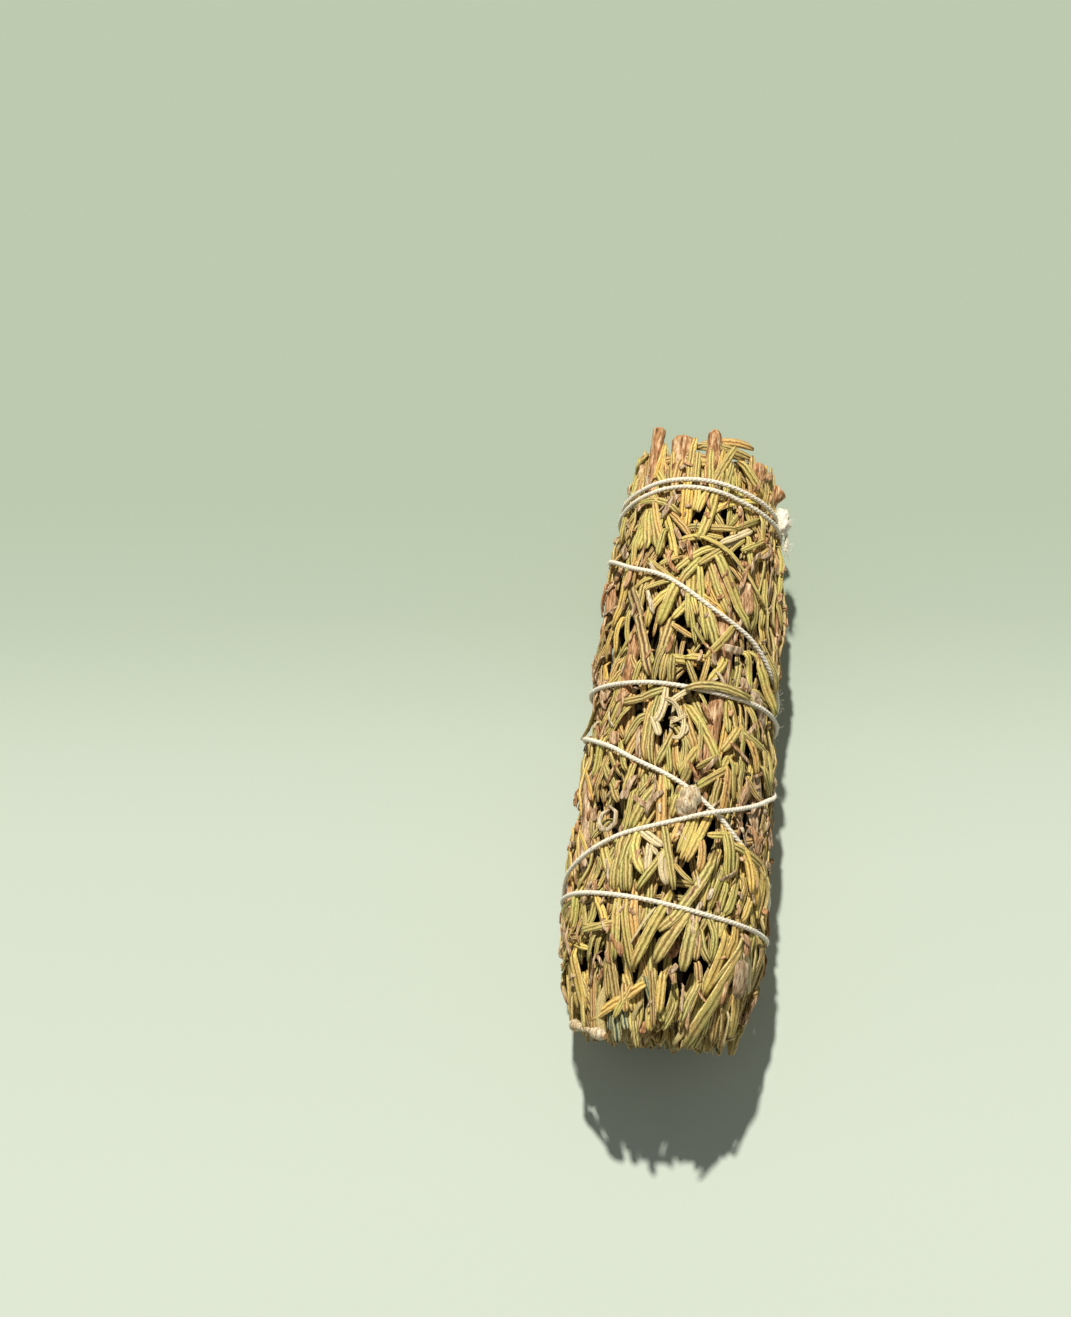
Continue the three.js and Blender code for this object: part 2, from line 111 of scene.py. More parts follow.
# The string's route, as [turned angle, y], and where a strand passes over another.
STRING_ROUTE = [
    [-276, 41.2], [-230, 41.3], [-180, 41.4], [-130, 41.2], [-90, 40.8], [-61, 41.4], [-28, 42.4],
    [5, 42.3], [37, 41.3], [60, 40.6], [82, 39.9], [130, 38.9], [180, 38.4], [230, 38.2], [275, 38.6],
    [307, 39.9], [340, 40.9], [369, 40.4], [390, 39.3], [410, 38.6], [443, 38],
    [490, 36.8], [535, 35], [585, 33], [630, 30.6], [653, 28.2], [673, 25.7], [700, 23], [731, 17.8],
    [761, 13.9], [783, 10], [810, 7], [850, 6.6], [900, 6.9], [950, 6.6], [990, 6],
    [1029, 5], [1061, 4.4], [1094, 3.6], [1137, 3.6], [1170, 3.2],
    [1215, 2.2], [1260, 1], [1305, -0.2], [1350, -1.8], [1392, -5.8], [1412, -8.7], [1440, -12.4],
    [1461, -16.3], [1480, -20.4], [1505, -24.4], [1530, -27], [1575, -28.6], [1620, -29.2], [1665, -29.5],
    [1710, -29.7], [1740, -30.1], [1775, -31.4], [1809, -32.8], [1830, -33.3], [1865, -33.3], [1890, -33],
    [1935, -32.8], [1980, -32.6], [2025, -31.4], [2050, -29], [2075, -26.3], [2093, -24.9], [2126, -21.6],
    [2154, -19.3], [2181, -16.6], [2209, -13.4], [2225, -11.1], [2250, -7.8], [2275, -2.6], [2298, 1.6],
]
STRING_OVER = [2044, 2179, 2297]
STRING_LIFT = 1.15
STRING_BITE = 0.62  # how deep the needles' tops lie under the string's outside
STRING_BITE_SLOPE = 0.45  # how steeply they rise beside it
TABLE_CLEARANCE = 0.05
PLIES = 3
PLY_RADIUS = 0.31  # of the string's thickness, as is the next
PLY_OFFSET = 0.18
STRING_FIBRES = 900
KNOT_FIBRES = 260
END_FIBRES = 60
FIBRE_THICKNESS = 0.045
# Knots: angle, y, and their loose ends as [angle from the knot, y from it, lift].
KNOT = (77, 40.4, [[[0, 0, 0.5], [5, -2, 1.1], [8, -4.6, 0.7]], [[0, 0, 0.5], [7, 1.2, 1], [13, 1, 0.8]]])
TIE = (138, 1.7, [[[0, 0, 0.5], [3, 2.4, 0.9], [3, 4.6, 0.7]]])

# How the needles lie.
BED_DEPTH = 3.1  # of the layer of needles, from the bundle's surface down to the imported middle
BED_SINK = 0.1
BED_CELL = 0.3
BED_FROM, BED_TO = -56.0, 54.0
SHOWN_DEPTH = 1.0  # of the topmost needles, those of SHOWN_NEEDLES
STATIONS = np.linspace(0, 1, 15)  # along a needle, from root to tip
NEEDLE_STIFFNESS = 0.2  # steepest slope at which a needle bends over what lies under it
NEEDLE_TUCK = 1.1  # how far a root sinks under its neighbours
NEEDLE_SLIMNESS = 0.88  # of the height that is kept for a needle, as dried ones are flattened
# Layer by layer: tufts, tint range, share of needles that lie out of line.
SURFACE_TUFTS = [
    (250, (0.0, 0.45), 0.05), (240, (0.05, 0.7), 0.07), (240, (0.15, 1.0), 0.09), (640, (0.2, 1.0), 0.1),
]
# How much lighter or darker the needles are along the bundle, as [y, share].
# The darkening towards the leafy end is painted shade, as that end lies in shadow.
SHADE_ALONG = [
    [-52, -0.5], [-44, -0.15], [-30, 0], [0, -0.12], [15, -0.05], [30, 0.3], [42, 0.3], [50, 0.15],
]
SCRAPS = 620
BLEACHED_SCRAPS = 0.07  # as a share of them
MIDDLE_Y = np.linspace(-48, 46.5, 28)
# A rod's materials.
NEEDLE_SLOT, BARK_SLOT, MIDDLE_SLOT = 0, 1, 2

# What a needle, or another bit laid like one, is. From 0 to 1 it is a needle's tint, from brown to yellow.
BLEACHED, GREEN, BARK, RED_BARK = 2, 3, 4, 5
# The topmost needles on the visible side, from the lowest to the uppermost, as looked for in the
# squares: pixels there of the root, of the middle where it bends, and of the tip, then tint or kind, and
# width. A minus before the width puts a needle over the string. The one under "bundle" has degrees and
# millimetres instead of pixels.
SHOWN_NEEDLES = [
    ("5R", [(360, 740, 270, 940, RED_BARK, 1.6)]),
    ("6L", [(1150, 800, 1320, 860, RED_BARK, 1.6)]),
    ("1L", [(470, 1000, 360, 980, 0.75, 0.8), (355, 980, 470, 550, 0.75, 0.8),
        (460, 880, 500, 640, 0.7, 0.7), (950, 770, 1060, 480, 0.8, 1), (1110, 740, 1240, 330, 0.95, 1),
        (1250, 680, 1290, 330, 0.8, 0.8), (800, 740, 655, 540, 0.8, 0.9), (1110, 820, 1055, 1240, 0.95, 1),
        (1185, 860, 1130, 1310, 0.95, 0.85), (920, 830, 920, 1050, 0.7, 0.8),
        (410, 1060, 320, 1450, 0.7, 0.8), (520, 1090, 410, 1400, 0.55, 0.9),
        (600, 1090, 400, 1520, 0.75, 0.8), (645, 1120, 440, 1600, 0.75, 0.9),
        (610, 1190, 580, 1590, 0.65, 1), (700, 1190, 710, 1580, 0.6, 1), (730, 1080, 800, 1600, 0.35, 1),
        (890, 1140, 1020, 1640, 0.7, 0.8), (830, 1110, 980, 1783, 0.8, 1.15),
        (970, 1180, 1180, 1430, 0.3, 0.9), (970, 1090, 680, 975, 390, 1060, 0.5, 1.1),
        (1300, 1430, 1010, 1490, 0.75, 0.8)]),
    ("1R", [(290, 700, 355, 300, 0.85, 0.9), (330, 660, 620, 265, 0.93, 1), (420, 740, 470, 550, 0.6, 0.7),
        (510, 750, 480, 560, 0.5, 0.7), (590, 760, 560, 500, 0.7, 0.6), (650, 760, 665, 540, 0.8, 0.6),
        (700, 740, 730, 570, 0.5, 0.6), (1060, 1020, 1070, 640, 0.85, 0.8), (990, 960, 800, 575, 0.9, 0.8),
        (100, 830, 60, 1100, 0.8, 0.8), (190, 930, 100, 1130, 0.8, 0.8), (360, 1100, 490, 1290, 0.6, 0.9),
        (600, 1060, 530, 1290, 0.7, 0.8), (700, 1140, 560, 1290, 0.65, 0.7),
        (310, 1100, 560, 990, 990, 1000, 0.8, 0.8), (970, 1220, 620, 1330, 0.75, 0.9),
        (20, 1310, 330, 1310, 620, 1360, 0.5, 0.9), (200, 1420, 480, 1440, 0.6, 0.8),
        (740, 1430, 470, 1568, BLEACHED, 0.8), (780, 1390, 400, 1530, BLEACHED, 0.9),
        (990, 1220, 1020, 1600, 0.8, 1), (350, 870, 120, 1500, 0.6, 1.15)]),
    ("2L", [(560, 0, 470, 330, 0.6, 0.9), (235, 1080, 120, 1568, 1, 0.8), (320, 1050, 230, 1450, 0.9, 0.7),
        (480, 370, 350, 740, 250, 1130, 0.97, 1), (930, 0, 870, 190, 0.6, 0.8),
        (1040, 240, 870, 300, 0.7, 0.7), (1030, 570, 890, 820, 0.75, 0.9), (870, 860, 750, 1200, 0.25, 0.9),
        (690, 450, 640, 640, 575, 920, 0.55, 1), (910, 520, 780, 570, 690, 640, 0.7, 0.8),
        (650, 520, 500, 650, 410, 820, 0.5, 0.7), (400, 1040, 350, 1300, 0.8, 0.6),
        (520, 1180, 290, 1480, 0.75, 0.7), (1220, 1240, 1150, 1600, 0.2, 0.7),
        (1050, 1240, 1050, 1600, 0.65, 0.9), (1030, 1000, 930, 1350, 830, 1600, 0.42, 1.1),
        (1250, 780, 1060, 1000, 0.8, 1), (1130, 1120, 1350, 1230, 0.3, 0.8),
        (930, 690, 760, 860, 675, 1090, 0.82, 1), (1110, 590, 870, 1070, 0.68, 1.2),
        (1330, 380, 1290, 1100, 0.72, 1.25), (1400, 290, 1150, 540, 0.62, 1)]),
    ("whole", [(709.5, 547.3, 690, 556, 671.2, 573.7, 0.7, 0.95)]),
    ("2L", [(790, 300, 1190, 600, 0.82, 0.95)]),
    ("2R", [(370, 660, 480, 860, 0.97, 0.7), (560, 700, 620, 860, 0.97, 0.6),
        (380, 790, 600, 990, 0.95, 0.7), (130, 830, 150, 960, 0.8, 0.6), (100, 980, 150, 1330, 0.65, 0.6),
        (160, 1180, 340, 1400, 0.75, 0.8), (340, 900, 480, 1250, 0.3, 0.7),
        (200, 350, 215, 750, 280, 1290, 0.68, 1), (270, 850, 420, 1410, 0.66, 1.1),
        (340, 320, 570, 960, 0.7, 1), (430, 160, 165, 330, 0.78, 0.9), (1190, 80, 960, 270, 0.85, 0.7),
        (870, 100, 930, 430, 0.75, 0.9), (700, 60, 600, 170, 0.8, 0.6), (1000, 30, 760, 130, 0.6, 0.7),
        (1080, 320, 1060, 760, 0.7, 0.7), (1110, 640, 1080, 1130, 0.8, 0.8),
        (1260, 50, 1230, 460, 0.9, 0.6), (1250, 690, 1260, 1170, 0.65, 0.8),
        (1110, 1000, 1180, 1500, 0.72, 0.9), (900, 590, 990, 850, 965, 1160, 0.55, 1),
        (440, 210, 680, 680, 890, 1170, 0.68, 1.5), (255, -30, 745, 325, 1050, 880, 0.72, 1)]),
    ("3R", [(1, 20, -150, 40, 0.8, 1), (310, 0, 320, 130, 1, 0.8)]),
    ("3L", [(310, 130, 320, 470, 1, 0.8), (460, 280, 330, 460, 0.9, 0.7), (1100, 0, 990, 330, 0.45, 1),
        (1180, 60, 1120, 320, 0.4, 0.9), (1260, 150, 1240, 330, 0.45, 0.9), (800, 90, 700, 330, 0.5, 0.9),
        (880, 180, 850, 330, 0.5, 0.8), (480, 440, 270, 900, 0.85, 1), (580, 590, 250, 1080, 0.65, 1.1),
        (660, 650, 330, 1090, 0.6, 1), (860, 770, 700, 900, 600, 1140, 0.5, 1),
        (960, 600, 880, 1000, 870, 1300, 0.3, 0.8), (1080, 540, 920, 950, 900, 1350, 0.45, 0.9),
        (1060, 640, 980, 1100, 990, 1420, 0.6, 0.8), (1240, 700, 1200, 1150, BLEACHED, 0.5),
        (1310, 1090, 1330, 1500, 0.35, 1.1), (1170, 1170, 1060, 1420, 0.5, 1),
        (1440, 1200, 1370, 1568, 0.65, 0.8), (1230, 1250, 1230, 1520, 0.6, 0.6),
        (1080, 460, 830, 550, 590, 620, 0.6, 1.1), (170, 1120, 80, 1568, 0.9, 1),
        (300, 1140, 150, 1568, 0.6, 1.1), (560, 1260, 640, 1490, 0.55, 0.9)]),
    ("3R", [(620, 110, 430, 30, 180, 20, 0.8, 1)]),
    ("whole", [(734, 628, 705.7, 658.7, 0.8, 1.1)]),
    ("3R", [(740, 50, 480, 390, 0.8, 1.1), (480, 160, 400, 400, 0.9, 0.9), (290, 230, 370, 400, 0.6, 0.8),
        (120, 510, 240, 850, 360, 1270, 0.35, 1.2), (340, 550, 510, 890, 0.6, 1),
        (430, 560, 500, 780, 0.6, 0.7), (240, 640, 450, 950, 720, 1500, 0.7, 1.15),
        (840, 1290, 720, 1460, 0.65, 0.9), (800, 660, 820, 1000, 0.6, 0.8),
        (840, 640, 890, 950, 880, 1320, 0.68, 1), (950, 690, 940, 1010, 0.9, 0.8),
        (1000, 700, 990, 1000, 0.3, 0.6), (950, 1010, 950, 1568, 0.6, 1.1),
        (1040, 640, 1120, 850, 1230, 1180, 0.75, 0.95), (1000, 1050, 1290, 1290, 0.62, 1),
        (940, 210, 900, 460, 0.6, 0.9), (1060, 0, 1120, 200, 1090, 480, 0.7, 1),
        (1150, 480, 1360, 660, 0.72, 1), (1150, 0, 1290, 330, 1400, 830, 0.7, 1),
        (830, 1050, 700, 1250, 0.45, 0.9), (170, 1050, 270, 1270, 0.5, 0.9),
        (200, 1210, 150, 1450, 0.62, 0.7), (330, 1260, 130, 1568, 0.66, 1),
        (410, 1000, 340, 1400, 0.6, 0.6), (580, 1350, 340, 1480, 0.5, 0.8),
        (1230, 1330, 1260, 1568, 0.45, 0.9), (1080, 1250, 1160, 1568, 0.35, 0.8)]),
    ("4L", [(950, 0, 850, 330, 0.5, 1), (650, 60, 640, 250, 525, 460, 0.45, 1.2),
        (620, 0, 800, 400, 0.5, 1.1), (375, 80, 380, 380, 1, 0.6), (1250, 60, 1050, 330, 0.5, 0.9),
        (1060, 330, 950, 760, 0.6, 0.8), (1000, 310, 860, 800, 0.6, 0.9), (1360, 260, 1120, 740, 0.58, 1),
        (1330, 190, 1120, 450, 970, 760, 0.6, 1.2), (1390, 100, 1370, 920, 0.3, 1.1),
        (1440, 80, 1480, 260, 0.7, 1), (240, 850, 250, 1180, 0.95, 0.7), (290, 900, 320, 1120, 0.9, 0.7),
        (540, 700, 400, 900, 0.6, 0.7), (420, 1080, 230, 1568, 0.6, 1.3), (520, 1150, 380, 1500, 0.5, 1),
        (610, 1290, 450, 1568, 0.8, 0.5), (580, 1010, 690, 1370, 0.5, 1), (800, 950, 700, 1568, 0.55, 0.9),
        (880, 880, 760, 1568, 0.45, 1), (970, 900, 860, 1290, 0.55, 0.9), (1030, 850, 1000, 1230, 0.6, 0.8),
        (900, 1300, 860, 1568, 0.6, 0.8), (960, 1180, 950, 1568, 0.5, 0.9),
        (1060, 820, 1060, 1100, 1160, 1360, 0.7, 1), (1240, 1020, 1200, 1330, BLEACHED, 1),
        (1290, 990, 1340, 1120, BLEACHED, 0.8), (1180, 830, 1400, 1000, BLEACHED, 1.3),
        (1400, 1250, 1450, 1500, BLEACHED, 1.3), (1440, 760, 1560, 1568, 0.72, 1.1),
        (1460, 1050, 1060, 1568, 0.6, 0.8)]),
    ("4R", [(310, 0, 230, 150, 0.62, 1), (210, 180, 90, 600, 0.62, 1), (760, 20, 390, 220, 0.6, 1),
        (700, 170, 670, 500, 0.5, 0.9), (900, 0, 960, 400, 0.6, 0.9), (1020, 0, 990, 430, 0.6, 0.8),
        (820, 30, 790, 560, 0.3, 1.1), (1160, 180, 1300, 400, 0.35, 0.9),
        (1290, 0, 1350, 180, 1440, 390, 0.55, 0.8), (230, 650, 110, 950, 0.35, 1),
        (340, 650, 160, 1090, 0.8, 0.95), (430, 640, 200, 1180, 0.8, 0.95),
        (580, 620, 280, 1200, 0.8, 1.05), (900, 830, 700, 860, 540, 850, 0.8, 0.8),
        (870, 900, 920, 1400, 0.6, 0.8), (970, 1120, 960, 1400, 0.85, 0.6),
        (720, 1150, 620, 1568, 0.55, 0.9), (480, 1050, 440, 1330, 0.25, 1), (790, 760, 840, 1480, 0.55, 1),
        (160, 1290, 370, 1500, 0.5, 0.9), (1040, 1230, 1060, 1568, 0.95, 0.8),
        (1120, 1260, 1100, 1568, 0.9, 0.9), (1180, 1290, 1170, 1568, 0.8, 0.7),
        (960, 1000, 1180, 1180, 0.62, 1)]),
    ("5L", [(270, 260, 80, 640, 0.8, 0.8), (360, 240, 210, 760, 0.6, 1.1), (450, 240, 430, 720, 0.85, 0.8),
        (330, 810, 510, 880, 0.8, 0.7), (320, 800, 100, 1160, 0.95, 0.9), (980, 900, 1060, 1400, 0.5, 1),
        (1250, 1050, 1340, 1300, 0.35, 0.8), (720, 1180, 710, 1500, 0.4, 0.7),
        (600, 1150, 540, 1540, 0.75, 0.8), (520, 1130, 440, 1330, 0.8, 0.8),
        (650, 760, 580, 1000, 0.8, 0.7), (590, 740, 490, 1040, 0.65, 1)]),
    ("whole", [(571.8, 953.5, 575.6, 1008, 0.88, 1.5), (605.4, 929, 611.6, 1017.4, 0.35, 1.1)]),
    ("5L", [(1140, 270, 1170, 650, 1220, 930, 0.3, 1.1), (1040, 240, 1060, 700, 1130, 1180, 0.5, 1.2),
        (930, 220, 920, 620, 890, 1030, 0.6, 1.4), (600, 200, 640, 400, 700, 560, 0.85, 0.9),
        (660, 250, 770, 570, 0.88, 1), (800, 590, 460, 600, 0.7, 0.7), (840, 580, 470, 670, 0.6, 0.9)]),
    ("5R", [(1370, 100, 1350, 600, 0.85, 1), (1440, 200, 1420, 500, 0.8, 0.7),
        (720, 40, 680, 380, 0.7, 0.8), (880, 0, 760, 380, 0.62, 1.1), (940, 120, 870, 420, 0.6, 0.8),
        (1160, 0, 1060, 250, 950, 430, 0.65, 1.2), (1260, 0, 1230, 300, 1110, 520, 0.9, 1),
        (1350, 0, 1290, 300, 1200, 520, 0.88, 0.9), (880, 520, 840, 740, 0.8, 0.8),
        (980, 530, 860, 740, 0.7, 0.9), (740, 470, 620, 690, 0.65, 0.9),
        (780, 520, 790, 760, 750, 1040, 0.6, 0.8), (650, 720, 670, 900, 740, 1040, 0.6, 0.8),
        (600, 780, 570, 1010, 0.25, 1), (270, 1050, 90, 1380, 0.7, 0.8), (20, 840, 40, 1370, 0.72, 1),
        (1330, 700, 1330, 1050, 0.7, 0.8), (1290, 1000, 1330, 1430, BLEACHED, 0.7),
        (1240, 980, 1250, 1430, BLEACHED, 1)]),
    ("whole", [(716, 990, 706, 1030, 0.6, 1)]),
    ("6R", [(280, 380, 180, 700, 0.55, 0.9), (310, 450, 320, 780, 0.6, 0.8), (550, 100, 570, 310, 0.12, 1),
        (640, 250, 620, 470, 0.4, 0.8), (530, 400, 370, 800, 0.35, 0.9), (500, 380, 330, 820, 0.6, 1),
        (720, 900, 620, 1130, 0.6, 1), (790, 600, 700, 980, 0.65, 0.8), (1170, 850, 1160, 1020, 0.85, 0.7),
        (1110, 560, 1090, 1000, 0.88, 1.3), (890, 800, 890, 1060, 0.3, 0.9),
        (940, 720, 960, 1040, 0.3, 0.9), (1000, 800, 990, 1120, BLEACHED, 0.8),
        (270, 650, 130, 870, 0.6, 0.9)]),
    ("5R", [(960, 700, 830, 1060, 660, 1440, 0.85, 1.5)]),
    ("whole", [(744, 941, 712, 985, 0.7, 1.2), (738, 958, 688, 1045, 0.78, 1.9)]),
    ("5R", [(1120, 580, 950, 1000, 0.97, 1.3), (560, 500, 400, 1150, 0.7, 1.4),
        (450, 410, 250, 700, 45, 1020, 0.8, 1.6)]),
    ("whole", [(714, 861, 685, 905, 658, 931, 0.64, 1.2), (662.8, 907, 632.2, 968, 0.58, 1.25)]),
    ("6L", [(1060, 500, 1090, 900, 0.75, 1.1), (1450, 470, 1560, 780, 0.75, 1),
        (1380, 660, 1360, 880, 0.85, 1), (830, 760, 840, 1020, GREEN, 1), (720, 700, 690, 870, GREEN, 1.1),
        (1340, 330, 1400, 560, GREEN, 1), (960, 720, 1000, 870, GREEN, 0.9),
        (1130, 850, 1160, 1100, 0.75, 0.8)]),
    ("whole", [(642, 982.5, 581.7, 1016.6, 0.95, 1.15)]),
    ("1L", [(600, 600, 565, 840, BARK, 1.4)]),
    ("2L", [(330, 20, 380, 220, BARK, 1), (260, 330, 240, 520, BARK, 1.2), (210, 560, 110, 850, BARK, 1.6),
        (240, 830, 120, 980, BARK, 1.2), (110, 900, 70, 1350, BARK, 1)]),
    ("2R", [(1190, 230, 1185, 560, 1170, 900, BARK, 1.1), (820, 560, 840, 760, 870, 960, BARK, 1.5),
        (480, 1400, 620, 1440, 760, 1450, BARK, 0.9)]),
    ("3R", [(1080, 480, 1200, 650, 1310, 950, BARK, 1.3), (980, 300, 1060, 480, BARK, 0.9)]),
    ("3L", [(620, 470, 500, 600, BARK, 0.9), (790, 880, 810, 1350, BARK, 0.9),
        (480, 980, 450, 1150, BARK, 1.2)]),
    ("4L", [(1010, 50, 880, 360, BARK, 0.6), (400, 450, 410, 640, BARK, 0.7)]),
    ("4R", [(1110, 130, 1040, 440, BARK, 1.6), (1190, 530, 1270, 860, BARK, 1.2),
        (1000, 590, 1130, 1010, BARK, 1), (1060, 650, 960, 900, BARK, 0.7)]),
    ("5L", [(180, 1170, 240, 1320, BARK, 0.8)]),
    ("5R", [(1240, 680, 1190, 970, BARK, 1), (1150, 985, 1090, 1490, BARK, 2.6)]),
    ("1R", [(1050, 700, 1165, 615, BARK, 0.9)]),
    ("3L", [(1450, 450, 1300, 560, 1180, 640, BLEACHED, 0.7),
        (1170, 540, 1130, 750, 1055, 890, BLEACHED, 0.9), (1055, 880, 1080, 980, 1110, 1060, BLEACHED, 0.9),
        (1270, 600, 1340, 700, 1375, 850, BLEACHED, 0.6), (1380, 850, 1450, 950, 1380, 1060, BLEACHED, 0.6),
        (1380, 1060, 1330, 1085, 1270, 1070, BLEACHED, 0.6), (1370, 830, 1290, 880, BLEACHED, 0.5)]),
    ("5L", [(1230, 640, 1350, 470, 1450, 350, BLEACHED, 0.7), (60, 790, 240, 775, 420, 735, 0.45, 0.45)]),
    ("2L", [(525, 690, 620, 1050, 0.05, 1.5)]),
    ("whole", [(637.5, 620.4, 648.4, 674, 0.05, 1.4), (753.4, 700.1, 723.6, 687.9, 693, 685.2, 0.58, 1.5)]),
    ("far", [(668, 1192, 785, 1196, 905, 1250, 0.5, -1.35)]),
    ("near", [(848, 478, 915, 528, 990, 612, 0.55, -1), (905, 560, 935, 640, 950, 740, 0.92, -1),
        (952, 560, 970, 680, 962, 800, 0.8, -1), (880, 500, 905, 580, 915, 690, 0.9, -0.9),
        (975, 640, 985, 740, 970, 850, 0.7, -0.9)]),
    ("far", [(995, 1010, 1015, 1120, 1030, 1240, 0.5, -1), (960, 1090, 990, 1200, 1022, 1320, 0.62, -1.1)]),
    ("bundle", [(-71, 3.3, -81, 1.9, -96, -1.2, 0.28, -0.9)]),
    ("far", [(738, 268, 742, 195, 746, 125, 0.62, 0.9), (765, 262, 808, 190, 855, 122, 0.8, 1),
        (905, 212, 940, 280, 978, 348, 0.5, 1), (640, 262, 648, 195, 658, 130, 0.85, 0.95),
        (572, 262, 585, 220, 603, 175, 0.3, 1.1), (815, 300, 822, 250, 830, 200, 0.7, 0.8)]),
]
# Dark gaps between the needles, looked for in the same way: pixels of the middle, and radius.
GAPS = [
    ("near", [(275, 351, 35), (745, 392, 30), (735, 478, 30), (650, 590, 18), (505, 880, 28),
        (480, 922, 22), (700, 985, 42), (640, 1012, 32), (165, 960, 24), (200, 775, 18), (75, 1060, 34),
        (110, 1180, 28), (205, 1205, 22), (400, 1130, 36), (420, 1215, 32), (385, 1185, 28), (560, 1110, 22),
        (540, 1330, 38), (450, 1340, 36), (600, 1300, 22), (760, 1230, 28), (240, 1265, 26), (360, 1040, 18),
        (590, 650, 14), (520, 1250, 24)]),
    ("far", [(870, 612, 24), (820, 410, 24), (640, 1130, 24), (690, 1128, 24), (740, 1240, 22),
        (600, 955, 22), (480, 978, 18), (350, 910, 14), (300, 682, 22), (640, 900, 14), (400, 1270, 14),
        (930, 930, 14), (780, 1440, 12), (562, 1305, 16)]),
]
GAP_PIXELS_PER_MM = 26.6
GAP_MARGIN = 0.1
GAP_HEIGHT = 0.35  # to which a gap may fill
# A needle curled into a ring: angle, y, radius.
RING = (-40.4, -18.7, 1.7)
# Dried flower cup: angle and y at its two ends, radii along it.
FLOWER_CUP = (8.8, -13.0, 1.7, -18.0, [0.7, 1.5, 1.9, 1.55, 1.75, 1.2, 0.5])
# Bleached twig with a knob at its end, at the lower left corner.
PALE_TWIG = (-78, -49.8, -38, -52.4, [0.95, 0.9, 0.6, 0.45, 0.42, 0.45, 0.85, 0.9, 0.5])


def smooth_table(rows):
    """A smooth curve through rows of [place, value], with the slope at a row that its neighbours have."""
    places, values = (np.array(column, float) for column in zip(*rows))
    index = np.arange(len(rows))
    before, after = np.maximum(index - 1, 0), np.minimum(index + 1, len(rows) - 1)
    slopes = (values[after] - values[before]) / (places[after] - places[before])

    def value_at(at):
        at = np.clip(at, places[0], places[-1])
        k = np.clip(np.searchsorted(places, at, side="right") - 1, 0, len(places) - 2)
        span = places[k + 1] - places[k]
        t = (at - places[k]) / span
        rise = values[k] * (1 + 2 * t) * (1 - t) ** 2 + values[k + 1] * t * t * (3 - 2 * t)
        return rise + span * (slopes[k] * t * (1 - t) ** 2 + slopes[k + 1] * t * t * (t - 1))

    return value_at


girth = smooth_table(GIRTH_RADIUS)
axis_height = smooth_table(AXIS_HEIGHT)
route_y = smooth_table(STRING_ROUTE)
ROUTE_TURNED = np.arange(STRING_ROUTE[0][0], STRING_ROUTE[-1][0], 3.0)
ROUTE_Y = route_y(ROUTE_TURNED)


def free_radius(angle, y):
    """Radius of the bundle's surface, flat where it lies on the table."""
    down = -np.cos(angle)
    return np.minimum(girth(y), axis_height(y) / np.maximum(down, 1e-3))


def string_gap(angle, y):
    """Distance along the surface to the nearest strand of string."""
    angle, y = np.atleast_1d(angle), np.atleast_1d(y)
    apart = (np.degrees(angle)[:, None] - ROUTE_TURNED[None] + 180) % 360 - 180
    around = np.radians(apart) * girth(y)[:, None]
    return np.hypot(around, y[:, None] - ROUTE_Y[None]).min(1)


def under_string(angle, y, radius, half):
    """Presses the radius of something half its thickness high down to where the string lets it be."""
    rise = STRING_BITE_SLOPE * np.maximum(string_gap(angle, y) - 0.5, 0)
    return np.minimum(radius, girth(y) - STRING_BITE + rise - half)


def place(angle, y, radius):
    """Points of the bundle, in millimetres, from the angle about its axis, place along it and radius."""
    angle, y, radius = np.broadcast_arrays(angle, y, radius)
    return np.stack([radius * np.sin(angle), y, axis_height(y) + radius * np.cos(angle)], -1)


def camera_axes():
    """The camera's ways to the right, up and ahead."""
    down, heading = math.radians(CAMERA_DOWN), math.radians(CAMERA_HEADING)
    level = math.cos(down)
    ahead = np.array([math.sin(heading) * level, math.cos(heading) * level, -math.sin(down)])
    right = np.array([math.cos(heading), -math.sin(heading), 0])
    return right, np.cross(right, ahead), ahead


def seen_at(square, x, y):
    """The angle, to a degree, and the place along the bundle, to 0.1 mm, that a pixel of a square shows."""
    left, top, enlargement = SQUARES[square]
    right, up, ahead = camera_axes()
    x, y = left + x / enlargement - PHOTO_WIDTH / 2, top + y / enlargement - PHOTO_HEIGHT / 2
    ray = ahead + right * x / CAMERA_FOCAL - up * y / CAMERA_FOCAL
    ray /= np.linalg.norm(ray)
    spots = CAMERA_PLACE + RAY_LENGTHS[:, None] * ray
    above = spots[:, 2] - np.interp(spots[:, 1], *zip(*AXIS_HEIGHT))
    outside = np.hypot(spots[:, 0], above) - np.interp(spots[:, 1], *zip(*GIRTH_RADIUS))
    # The first point inside the bundle, or else the one that comes nearest to it.
    k = int(np.argmax(outside < 0)) if (outside < 0).any() else int(outside.argmin())
    angle = math.degrees(math.atan2(spots[k, 0], above[k]))
    return round(angle), round(float(spots[k, 1]), 1)


def seen_needles():
    """The table's needles: angles and places of root, middle and tip, tint or kind, and width."""
    for square, rows in SHOWN_NEEDLES:
        for *numbers, kind, width in rows:
            spots = np.reshape(numbers, (-1, 2))
            if square != "bundle":
                if len(spots) == 2:
                    spots = np.insert(spots.astype(float), 1, spots.mean(0), axis=0)
                spots = [seen_at(square, *spot) for spot in spots]
            yield np.array(spots, float), kind, width


def seen_gaps():
    """The table's gaps: angle, y, radius."""
    for square, rows in GAPS:
        for x, y, size in rows:
            yield (*seen_at(square, x, y), round(size / GAP_PIXELS_PER_MM + GAP_MARGIN, 1))


def outward(angle):
    """The way straight out of the bundle."""
    angle = np.asarray(angle, float)
    return np.stack([np.sin(angle), 0 * angle, np.cos(angle)], -1)


